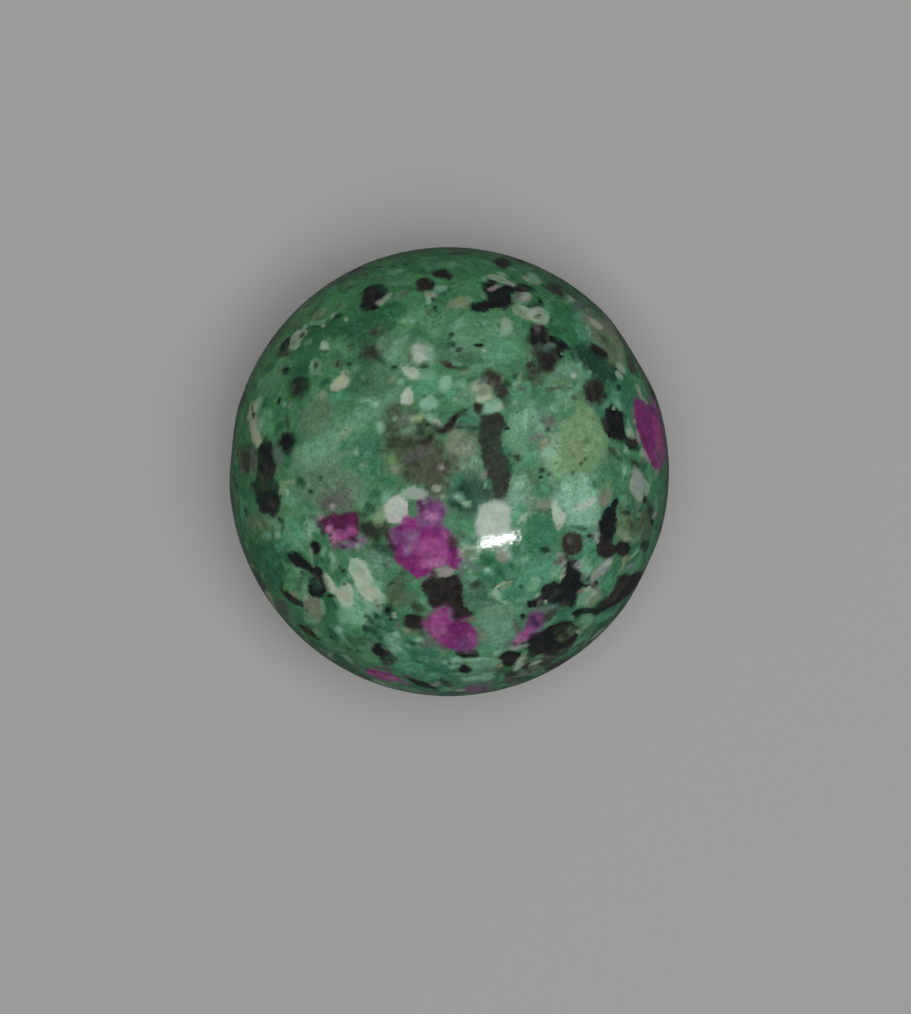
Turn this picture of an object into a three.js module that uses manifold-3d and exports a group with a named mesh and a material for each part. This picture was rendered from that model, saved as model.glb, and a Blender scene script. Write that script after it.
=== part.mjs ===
// A polished ball of green epidote rock, about 60 mm across, that stands on one small lapped flat.
//
// Such a ball is sawn as a cube from the rough, knocked into shape on a wheel and then rolled between
// three cup laps until it is round. Work done by eye leaves it a little oval, with a few broad places
// where it was ground low, and those are what this source adds to a plain sphere. The stone is one
// piece: its grains of ruby, hornblende and feldspar are colour in a flush, polished surface.
//
// Millimetres, +Z up. The origin is the centre of the rest flat, on the underside.
import * as THREE from "three";
import { mergeVertices } from "three/addons/utils/BufferGeometryUtils.js";
import Module from "manifold-3d";

// Driving dimensions.
const WIDTH = 59.4; // the ball across X
const DEPTH = 60.6; // the ball across Y
const HEIGHT = 60.0; // the ball across Z, before the rest flat is lapped
const REST_FLAT_DIAMETER = 9.0; // wide enough to keep the ball from rolling on a level shelf

// The net of triangles that the skin is made of.
const SKIN_STEPS = 18; // how many times each edge of the starting icosahedron is divided
const UNIT_NET_TOLERANCE = 0.01; // merges shared corners, well under the spacing on a ball of radius 1
const MERGE_TOLERANCE = 0.001; // merges shared corners at full size

// Places ground low. Azimuth turns from +X towards +Y, elevation rises from the ball's equator, both in
// degrees. Depth is how far the place lies under the round ball, and blend how softly its rim runs out.
const LOW_PLACES = [
  { name: "right shoulder", azimuth: 31, elevation: 8, depth: 0.42, blend: 0.35 },
  { name: "left side", azimuth: 174, elevation: 5, depth: 0.26, blend: 0.3 },
  { name: "near left", azimuth: 219, elevation: -4, depth: 0.2, blend: 0.3 },
  { name: "near right", azimuth: 335, elevation: 3, depth: 0.24, blend: 0.3 },
  { name: "low back", azimuth: 95, elevation: -38, depth: 0.3, blend: 0.35 },
  { name: "low front", azimuth: 268, elevation: -47, depth: 0.22, blend: 0.3 },
];

const restFlatRadius = REST_FLAT_DIAMETER / 2;
const axes = new THREE.Vector3(WIDTH, DEPTH, HEIGHT).multiplyScalar(0.5);
const meanSideRadius = (axes.x + axes.y) / 2;
// The height of the ball's middle over the rest flat, which puts the flat's rim on the oval's skin.
const centreHeight = axes.z * Math.sqrt(1 - (restFlatRadius / meanSideRadius) ** 2);

// A direction from the ball's middle.
function direction(azimuth, elevation) {
  const polar = THREE.MathUtils.degToRad(90 - elevation);
  const turn = THREE.MathUtils.degToRad(azimuth);
  return new THREE.Vector3(
    Math.sin(polar) * Math.cos(turn),
    Math.sin(polar) * Math.sin(turn),
    Math.cos(polar),
  );
}

// The oval's radius in a direction, before any place is ground low.
function ovalRadius(way) {
  return 1 / Math.hypot(way.x / axes.x, way.y / axes.y, way.z / axes.z);
}

// The smaller of two radii, with the corner between them rounded over the blend.
function softMinimum(a, b, blend) {
  const share = THREE.MathUtils.clamp(0.5 + (0.5 * (b - a)) / blend, 0, 1);
  return THREE.MathUtils.lerp(b, a, share) - blend * share * (1 - share);
}

// The finished radius in a direction: the oval, cut back to each low place's plane.
function ballRadius(way) {
  let radius = ovalRadius(way);
  for (const place of LOW_PLACES) {
    const out = direction(place.azimuth, place.elevation);
    const facing = way.dot(out);
    if (facing > 0.5) {
      const plane = (ovalRadius(out) - place.depth) / facing;
      radius = softMinimum(radius, plane, place.blend);
    }
  }
  return radius;
}

// The same surface with positions alone, and each corner that triangles share stored once.
function closedSurface(geometry, tolerance) {
  const bare = new THREE.BufferGeometry();
  bare.setAttribute("position", geometry.getAttribute("position"));
  if (geometry.index) bare.setIndex(geometry.index);
  return mergeVertices(bare, tolerance);
}

// A closed surface as a manifold-3d solid.
function toSolid(wasm, surface) {
  return new wasm.Manifold(
    new wasm.Mesh({
      numProp: 3,
      vertProperties: surface.getAttribute("position").array,
      triVerts: new Uint32Array(surface.index.array),
    }),
  );
}

// A manifold-3d solid as a three.js geometry with flat faces.
function toGeometry(solid) {
  const mesh = solid.getMesh();
  const indexed = new THREE.BufferGeometry();
  indexed.setAttribute("position", new THREE.BufferAttribute(mesh.vertProperties, mesh.numProp));
  indexed.setIndex(new THREE.BufferAttribute(mesh.triVerts, 1));
  const geometry = indexed.toNonIndexed();
  geometry.computeVertexNormals();
  return geometry;
}

// The round skin: an even net of triangles, each corner pushed out to the ball's radius there.
function roundSkin() {
  const skin = closedSurface(new THREE.IcosahedronGeometry(1, SKIN_STEPS), UNIT_NET_TOLERANCE);
  const corners = skin.getAttribute("position");
  const way = new THREE.Vector3();
  for (let i = 0; i < corners.count; i += 1) {
    way.fromBufferAttribute(corners, i).normalize();
    way.multiplyScalar(ballRadius(way));
    corners.setXYZ(i, way.x, way.y, way.z + centreHeight);
  }
  return skin;
}

// The ball as one solid, with everything under the rest flat's plane cut away.
async function stoneBall() {
  const wasm = await Module();
  wasm.setup();
  const below = new THREE.BoxGeometry(WIDTH, DEPTH, HEIGHT).translate(0, 0, -HEIGHT / 2);
  const underFlat = toSolid(wasm, closedSurface(below, MERGE_TOLERANCE));
  return toGeometry(toSolid(wasm, roundSkin()).subtract(underFlat));
}

const polishedStone = new THREE.MeshStandardMaterial({
  name: "polished_stone",
  color: new THREE.Color(0.25, 0.42, 0.31),
  roughness: 0.15,
  metalness: 0,
});

const ball = new THREE.Mesh(await stoneBall(), polishedStone);
ball.name = "stone_ball";

const part = new THREE.Group();
part.add(ball);

export default part;
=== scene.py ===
# %% [markdown]
# # A polished ball of ruby-bearing epidote rock
#
# The object is one solid ball, taken to be 60 mm across, ground and polished from a green rock. Going
# by colour alone, the green is epidote and zoisite, the magenta ruby, the black hornblende and the
# near-white feldspar. There are no separate parts, so the whole lesson is about one surface: a round,
# slightly worn shape, and a stone finish whose grains lie where they lie on this one ball.
#
# The imported model is loaded first. It is the frame: it says where the ball stands and how large it is.

# %% Load the frame
import math

import bpy
import numpy as np
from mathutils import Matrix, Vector, kdtree, noise


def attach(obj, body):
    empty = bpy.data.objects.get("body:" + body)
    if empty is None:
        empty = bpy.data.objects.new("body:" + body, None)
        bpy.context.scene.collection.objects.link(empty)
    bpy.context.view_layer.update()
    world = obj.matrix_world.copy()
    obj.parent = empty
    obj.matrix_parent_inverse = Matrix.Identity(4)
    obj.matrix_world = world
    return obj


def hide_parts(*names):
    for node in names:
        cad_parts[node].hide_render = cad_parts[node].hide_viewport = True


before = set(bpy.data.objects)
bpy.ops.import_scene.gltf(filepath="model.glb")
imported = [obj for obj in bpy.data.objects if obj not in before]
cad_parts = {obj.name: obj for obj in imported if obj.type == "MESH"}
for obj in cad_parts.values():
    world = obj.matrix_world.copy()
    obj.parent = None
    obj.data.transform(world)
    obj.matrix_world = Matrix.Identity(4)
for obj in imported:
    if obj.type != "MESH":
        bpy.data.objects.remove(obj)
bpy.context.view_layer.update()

MM = 0.001

# %% [markdown]
# ## Where the camera stands
#
# The ball is seen from straight above, a little off the middle of the picture. A camera with no turn
# looks down the Z axis with +Y up in the picture, so it only has to be moved. How far off it stands
# is a choice. The lens is then worked out from the ball's size in the picture: a sphere's outline is
# slightly larger than its middle section, because the line of sight grazes it in front of its middle.

# %% Set the camera
PICTURE_WIDTH = 911
PICTURE_HEIGHT = 1014
BALL_PLACE = (449.0, 472.0)
OUTLINE_RADIUS = 222.7
CAMERA_DISTANCE = 300.0 * MM
SENSOR = 36.0

BALL_WIDTH = 59.4 * MM
BALL_DEPTH = 60.6 * MM
BALL_HEIGHT = 60.0 * MM
REST_FLAT_RADIUS = 4.5 * MM
half_sizes = np.array([BALL_WIDTH, BALL_DEPTH, BALL_HEIGHT]) / 2
mean_side = half_sizes[:2].mean()
centre_height = half_sizes[2] * math.sqrt(1 - (REST_FLAT_RADIUS / mean_side) ** 2)

grazing_reach = math.sqrt(CAMERA_DISTANCE**2 - mean_side**2)
focal_pixels = OUTLINE_RADIUS * grazing_reach / mean_side
pixel_size = CAMERA_DISTANCE / focal_pixels
camera_data = bpy.data.cameras.new("camera_above")
camera_data.sensor_width = SENSOR
camera_data.lens = focal_pixels * SENSOR / PICTURE_HEIGHT
camera = bpy.data.objects.new("camera_above", camera_data)
camera.location = (
    (PICTURE_WIDTH / 2 - BALL_PLACE[0]) * pixel_size,
    (BALL_PLACE[1] - PICTURE_HEIGHT / 2) * pixel_size,
    centre_height + CAMERA_DISTANCE,
)
bpy.context.scene.collection.objects.link(camera)
bpy.context.scene.camera = camera
print(f"lens {camera_data.lens:.1f} mm, camera {camera.location.z / MM:.0f} mm above the shelf")

# %% [markdown]
# ## The ball's shape
#
# A stone ball is rolled between cup-shaped laps until it is round, but hand work leaves it a little
# oval with a few broad places ground low. A UV sphere would pinch at its poles, and the polish would
# show it. So the ball starts as a cube: a Subdivision Surface rounds it into an even net of squares,
# and a Cast modifier puts every corner on a sphere. Then it is scaled to the oval in edit mode.

# %% Round a cube into an even ball
SUBDIVISIONS = 7


def deselect_all():
    bpy.ops.object.select_all(action="DESELECT")


def apply_modifier(thing, kind, **settings):
    modifier = thing.modifiers.new(kind.title(), kind)
    for name, value in settings.items():
        setattr(modifier, name, value)
    bpy.ops.object.modifier_apply(modifier=modifier.name)


deselect_all()
bpy.ops.mesh.primitive_cube_add(size=2.0)
ball = bpy.context.object
ball.name = "polished_ball"
apply_modifier(ball, "SUBSURF", levels=SUBDIVISIONS, render_levels=SUBDIVISIONS)
apply_modifier(ball, "CAST", cast_type="SPHERE", factor=1.0, use_radius_as_size=False, size=1.0)
bpy.ops.object.mode_set(mode="EDIT")
bpy.ops.mesh.select_all(action="SELECT")
bpy.ops.transform.resize(value=tuple(half_sizes))
bpy.ops.transform.translate(value=(0, 0, centre_height))
bpy.ops.object.mode_set(mode="OBJECT")
print(ball.name, "has", len(ball.data.polygons), "faces")

# %% [markdown]
# ## Places ground low, and the rest flat
#
# No operator grinds a plane with a soft rim, so this step works on the mesh's numbers. Each low place
# is a plane square to a direction. Where the plane lies under the round skin, the skin is pulled in to
# it, and the corner between the two is rounded. The flat that the ball rests on is a plain cut, and
# that one is a Bisect in edit mode, with its open edge filled.

# %% Grind the low places
LOW_PLACES = {
    "right shoulder": (31, 8, 0.42, 0.35),
    "left side": (174, 5, 0.26, 0.30),
    "near left": (219, -4, 0.20, 0.30),
    "near right": (335, 3, 0.24, 0.30),
    "low back": (95, -38, 0.30, 0.35),
    "low front": (268, -47, 0.22, 0.30),
}
LEAST_FACING = 0.5
ball_middle = np.array([0.0, 0.0, centre_height])


def unit(vectors):
    return vectors / np.linalg.norm(vectors, axis=-1, keepdims=True)


def way(azimuth, elevation):
    turn, rise = math.radians(azimuth), math.radians(elevation)
    flat = math.cos(rise)
    return np.array([flat * math.cos(turn), flat * math.sin(turn), math.sin(rise)])


def oval_radius(ways):
    return 1 / np.linalg.norm(ways / half_sizes, axis=-1)


def soft_minimum(a, b, rim):
    share = np.clip(0.5 + 0.5 * (b - a) / rim, 0, 1)
    return b + (a - b) * share - rim * share * (1 - share)


def ball_radius(ways):
    radius = oval_radius(ways)
    for azimuth, elevation, depth, rim in LOW_PLACES.values():
        out = way(azimuth, elevation)
        facing = ways @ out
        plane = (oval_radius(out) - depth * MM) / np.maximum(facing, LEAST_FACING)
        ground = soft_minimum(radius, plane, rim * MM)
        radius = np.where(facing > LEAST_FACING, ground, radius)
    return radius


def read_corners(mesh):
    places = np.empty(len(mesh.vertices) * 3)
    mesh.vertices.foreach_get("co", places)
    return places.reshape(-1, 3)


def write_corners(mesh, places):
    mesh.vertices.foreach_set("co", places.ravel())
    mesh.update()


corners = read_corners(ball.data)
ways = unit(corners - ball_middle)
write_corners(ball.data, ball_middle + ways * ball_radius(ways)[:, None])
moved = np.linalg.norm(read_corners(ball.data) - corners, axis=1).max()
print(f"{len(LOW_PLACES)} low places, up to {moved / MM:.2f} mm deep")

# %% Cut the rest flat
CUT_TOLERANCE = 1e-7
SMOOTH_UP_TO = math.radians(6)
deselect_all()
ball.select_set(True)
bpy.context.view_layer.objects.active = ball
bpy.ops.object.mode_set(mode="EDIT")
bpy.ops.mesh.select_all(action="SELECT")
bpy.ops.mesh.bisect(
    plane_co=(0, 0, 0), plane_no=(0, 0, 1), use_fill=True, clear_inner=True, threshold=CUT_TOLERANCE
)
bpy.ops.mesh.select_all(action="SELECT")
bpy.ops.mesh.normals_make_consistent(inside=False)
bpy.ops.object.mode_set(mode="OBJECT")
bpy.ops.object.shade_smooth_by_angle(angle=SMOOTH_UP_TO)
print("lowest point", round(min(v.co.z for v in ball.data.vertices) / MM, 4), "mm")

# %% [markdown]
# ## How the grains are laid on the ball
#
# A rock's pattern isn't a noise texture: each grain has its own outline. But only the ground between
# them can be left to chance, so the large grains are drawn. An outline is a few points in the camera's
# picture, and each is carried along the line of sight to the ball. There it becomes a direction from
# the ball's middle, so the grain is part of the ball from then on, and stays put in any view.
#
# For every corner of the mesh, the scene then works out how deep it lies inside the outline, in
# millimetres. The depth goes into a mesh attribute, which the material reads. A depth can be cut off
# crisply anywhere between two corners, where a painted colour would be as coarse as the mesh.

# %% From the picture to the ball
FAR_OUTSIDE = -3.0
SPAN_STEPS = 4
RIM_SAFETY = 0.999
TINY = 1e-9
SIDE_HINT = (0.3, 0.9, 0.31)


def picture_to_way(points):
    """Directions from the ball's middle to where lines of sight through picture points meet it."""
    points = np.asarray(points, float)
    sight = np.column_stack([
        (points[:, 0] - PICTURE_WIDTH / 2) / focal_pixels,
        (PICTURE_HEIGHT / 2 - points[:, 1]) / focal_pixels,
        -np.ones(len(points)),
    ])
    start = (np.array(camera.location) - ball_middle) / half_sizes
    sight = sight / half_sizes
    along = -(sight @ start) / np.einsum("ij,ij->i", sight, sight)
    closest = start + along[:, None] * sight
    miss = np.maximum(np.linalg.norm(closest, axis=1), TINY)
    inside = np.minimum(miss, RIM_SAFETY)
    back = np.sqrt(1 - inside**2)
    on_unit = closest * (inside / miss)[:, None] - unit(sight) * back[:, None]
    return unit(on_unit * half_sizes)


def read_points(text):
    return [tuple(float(number) for number in pair.split()) for pair in text.split(",")]


def rounded(points):
    """A closed smooth curve through the points, by Catmull and Rom's formula."""
    p = np.asarray(points, float)
    before, after, later = np.roll(p, 1, 0), np.roll(p, -1, 0), np.roll(p, -2, 0)
    steps = []
    for t in np.arange(SPAN_STEPS) / SPAN_STEPS:
        steps.append(0.5 * (
            2 * p + (after - before) * t
            + (2 * before - 5 * p + 4 * after - later) * t**2
            + (3 * p - before - 3 * after + later) * t**3
        ))
    return np.stack(steps, axis=1).reshape(-1, p.shape[1])


def drawn(outline):
    """The directions of a smooth closed outline, from the picture points in a text."""
    return picture_to_way(rounded(read_points(outline)))


def spread_flat(ways, middle):
    """Places on the ball near a direction, laid flat in mm with their distances kept."""
    side = unit(np.cross(middle, SIDE_HINT))
    up = np.cross(side, middle)
    along = np.clip(ways @ middle, -1, 1)
    angle = np.arccos(along)
    stretch = angle / np.maximum(np.sin(angle), TINY) * mean_side / MM
    return np.column_stack([ways @ side, ways @ up]) * stretch[:, None]


def depth_inside(points, outline):
    """How deep each point lies inside an outline: positive within it, negative outside."""
    nearest = np.full(len(points), np.inf)
    inside = np.zeros(len(points), bool)
    for corner, following in zip(outline, np.roll(outline, -1, 0)):
        span = following - corner
        gap = points - corner
        share = np.clip(gap @ span / max(span @ span, TINY), 0, 1)
        offset = gap - share[:, None] * span
        nearest = np.minimum(nearest, np.hypot(offset[:, 0], offset[:, 1]))
        crosses = (corner[1] > points[:, 1]) != (following[1] > points[:, 1])
        rise = span[1] if span[1] else TINY
        reach = corner[0] + (points[:, 1] - corner[1]) * span[0] / rise
        inside ^= crosses & (points[:, 0] < reach)
    return np.where(inside, nearest, -nearest)


corners = read_corners(ball.data)
corner_ways = unit(corners - ball_middle)


def depth_on_ball(outline_ways):
    """The corners near an outline, and how deep each lies inside it, in mm."""
    middle = unit(outline_ways.mean(0))
    reach = np.arccos(np.clip(outline_ways @ middle, -1, 1)).max() - FAR_OUTSIDE * MM / mean_side
    near = np.flatnonzero(corner_ways @ middle > math.cos(min(reach, math.pi)))
    outline = spread_flat(outline_ways, middle)
    return near, depth_inside(spread_flat(corner_ways[near], middle), outline)


test_way = picture_to_way([BALL_PLACE])[0]
print("the ball's place in the picture looks along", test_way.round(3))

# %% [markdown]
# ## The colours of the stone
#
# The grains share one set of colours, so they are named once, as a painter mixes a palette before
# starting. They are written as they look on screen, from 0 to 255, and turned into the linear values
# that Blender's light works with. The greens stand for zoisite and epidote in all their shades: deep
# where the stone is clear and the light sinks in, milky where it is fine-grained.

# %% Mix the palette
SCREEN_COLOURS = {
    "leaf": (78, 138, 96),
    "light leaf": (98, 152, 112),
    "emerald": (56, 124, 84),
    "sea": (92, 164, 124),
    "deep": (48, 102, 70),
    "bottle": (36, 78, 56),
    "teal": (62, 126, 98),
    "dark teal": (38, 72, 58),
    "mint": (122, 174, 140),
    "pale mint": (144, 192, 162),
    "milk green": (112, 152, 120),
    "grey green": (76, 114, 88),
    "pale grey green": (104, 136, 110),
    "olive": (82, 106, 76),
    "khaki": (102, 136, 96),
    "light khaki": (134, 172, 122),
    "pale khaki": (134, 162, 122),
    "olive brown": (58, 70, 50),
    "dusky": (54, 62, 52),
    "dark olive": (56, 72, 44),
    "dark bottle": (28, 58, 40),
    "smoke": (60, 60, 54),
    "umber": (62, 60, 52),
    "spring": (94, 164, 110),
    "bright mint": (142, 200, 160),
    "ice": (188, 212, 184),
    "hot pink": (192, 76, 152),
    "moss": (76, 88, 66),
    "warm brown": (78, 72, 60),
    "dusk brown": (59, 51, 51),
    "slate green": (62, 88, 76),
    "bone": (202, 198, 192),
    "mauve": (94, 94, 90),
    "mauve grey": (104, 112, 102),
    "lilac grey": (124, 120, 118),
    "pale pink grey": (128, 112, 108),
    "lavender": (104, 124, 116),
    "pale blue": (132, 154, 152),
    "lavender white": (158, 170, 164),
    "beige": (138, 148, 124),
    "peach": (150, 154, 124),
    "cream": (188, 200, 168),
    "ivory": (166, 192, 164),
    "white": (192, 208, 194),
    "pink white": (158, 154, 150),
    "black": (28, 33, 33),
    "blue black": (32, 38, 42),
    "black green": (28, 42, 36),
    "brown black": (45, 42, 40),
    "ruby": (138, 52, 122),
    "dark ruby": (88, 36, 70),
    "deep magenta": (116, 42, 100),
    "pink": (168, 88, 146),
    "pale pink": (180, 124, 162),
    "dark violet": (66, 42, 68),
    "violet": (120, 72, 122),
    "lilac": (138, 102, 140),
}


def linear(screen):
    value = np.asarray(screen, float) / 255
    return np.where(value <= 0.04045, value / 12.92, ((value + 0.055) / 1.055) ** 2.4)


PALETTE = {name: linear(screen) for name, screen in SCREEN_COLOURS.items()}
print(len(PALETTE), "colours, the darkest", min(PALETTE, key=lambda name: PALETTE[name].sum()))

# %% [markdown]
# ## Small crystals, and borders that wander
#
# The rock is a mosaic, so its borders don't run smoothly: they step round the small crystals that lie
# along them. The ball is split into crystals by finding, for each corner of the mesh, the nearest of
# many points strewn over the sphere, with a bend so that the sides aren't straight. Each crystal is
# then moved into or out of the grain by a little, and a slow noise is added.

# %% Split the ball into crystals
WANDER_WAVE = 1.7
WANDER_DEPTH = 0.2
SHORTER_BY = 2.1
SHALLOWER_BY = 0.8
BITE_SIZE = 0.8
BITE_BEND = 0.6
BITE_DEPTH = 0.17
BITE_SEED = 80
SEED_SHIFTS = (11.3, 7.7, 5.1)
BEND_WAVE = 1.2
corner_count = len(corners)


def slow_noise(wave, seed):
    """A smooth noise at each corner, from about -1 to 1, with waves of that many mm."""
    shift = Vector([seed * step for step in SEED_SHIFTS])
    scale = 1 / (wave * MM)
    return np.array([noise.noise(Vector(place) * scale + shift) for place in corners])


def split_into_crystals(size, bend, seed):
    """The number of the crystal that each corner lies in, and how many there are."""
    chance = np.random.default_rng(seed)
    count = int(4 * math.pi * (mean_side / (size * MM)) ** 2)
    tree = kdtree.KDTree(count)
    for number, middle in enumerate(unit(chance.normal(size=(count, 3)))):
        tree.insert(middle, number)
    tree.balance()
    shifts = [slow_noise(size * BEND_WAVE, seed + part) for part in range(3)]
    bent = corner_ways + np.column_stack(shifts) * bend * MM / mean_side
    return np.array([tree.find(place)[1] for place in bent]), count


bite_cells, bite_count = split_into_crystals(BITE_SIZE, BITE_BEND, BITE_SEED)
own_bite = np.random.default_rng(BITE_SEED + 1).normal(0, BITE_DEPTH, bite_count)[bite_cells]
long_waves, short_waves = slow_noise(WANDER_WAVE, 1), slow_noise(WANDER_WAVE / SHORTER_BY, 2)
wander = WANDER_DEPTH * (long_waves + SHALLOWER_BY * short_waves) + own_bite
print(bite_count, "small crystals along the borders")

# %% [markdown]
# ## Layers, and the two ways to fill them
#
# The stone is painted in layers, from the back: the green ground, brown smoky stains in it, pale
# grains, black hornblende, ruby, and last small bright chips, among them painted glints and painted
# reflections on the rim. A grain gives its layer a depth, an edge width and a colour. A stain only
# shifts the colour that is there, and fades out over its edge.

# %% Make the layers
LAYER_NAMES = ("smoke", "pale", "black", "ruby", "chip")
EMPTY_EDGE = 0.2
MOST_OF_DEPTH = 0.5
STAIN_WANDERING = 1.6
ground = np.tile(PALETTE["leaf"], (corner_count, 1))
layers = {}
for layer_name in LAYER_NAMES:
    layers[layer_name] = {
        "depth": np.full(corner_count, FAR_OUTSIDE),
        "edge": np.full(corner_count, EMPTY_EDGE),
        "wander": np.ones(corner_count),
        "colour": np.tile(PALETTE["leaf"], (corner_count, 1)),
    }


def lay_grain(layer_name, colour, edge, outline_ways, wandering=1.0):
    """Adds a grain to a layer where it reaches deeper than what is there. A thin one wanders less."""
    layer = layers[layer_name]
    near, depth = depth_on_ball(outline_ways)
    wandering = min(wandering, MOST_OF_DEPTH * depth.max())
    depth = depth + wandering * wander[near]
    closer = depth > layer["depth"][near]
    chosen = near[closer]
    layer["depth"][chosen] = depth[closer]
    layer["edge"][chosen] = edge
    layer["wander"][chosen] = wandering
    layer["colour"][chosen] = colour


def stain_amount(edge, share, outline_ways, wandering=STAIN_WANDERING):
    """The corners near a stain, and how strongly it tints each."""
    near, depth = depth_on_ball(outline_ways)
    amount = np.clip(0.5 + (depth + wandering * wander[near]) / (2 * edge), 0, 1)
    return near, (share * amount**2 * (3 - 2 * amount))[:, None]


def tint(values, chosen, aim, amount):
    """Moves the chosen values towards an aim by an amount from 0 to 1."""
    values[chosen] += (aim - values[chosen]) * amount


def lay_stain(colours, colour, edge, share, outline_ways):
    """Tints colours inside an outline, fading over its edge."""
    near, amount = stain_amount(edge, share, outline_ways)
    tint(colours, near, colour, amount)


print("wander in mm:", wander.min().round(2), "to", wander.max().round(2))

# %% [markdown]
# ## The green ground
#
# The ground isn't one green. Broad fields of it differ in how clear the stone is, and smaller patches
# lie in and over them. Each stain below is a colour, an edge in mm, a strength, and an outline. A
# later one is laid over the earlier ones.

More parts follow.
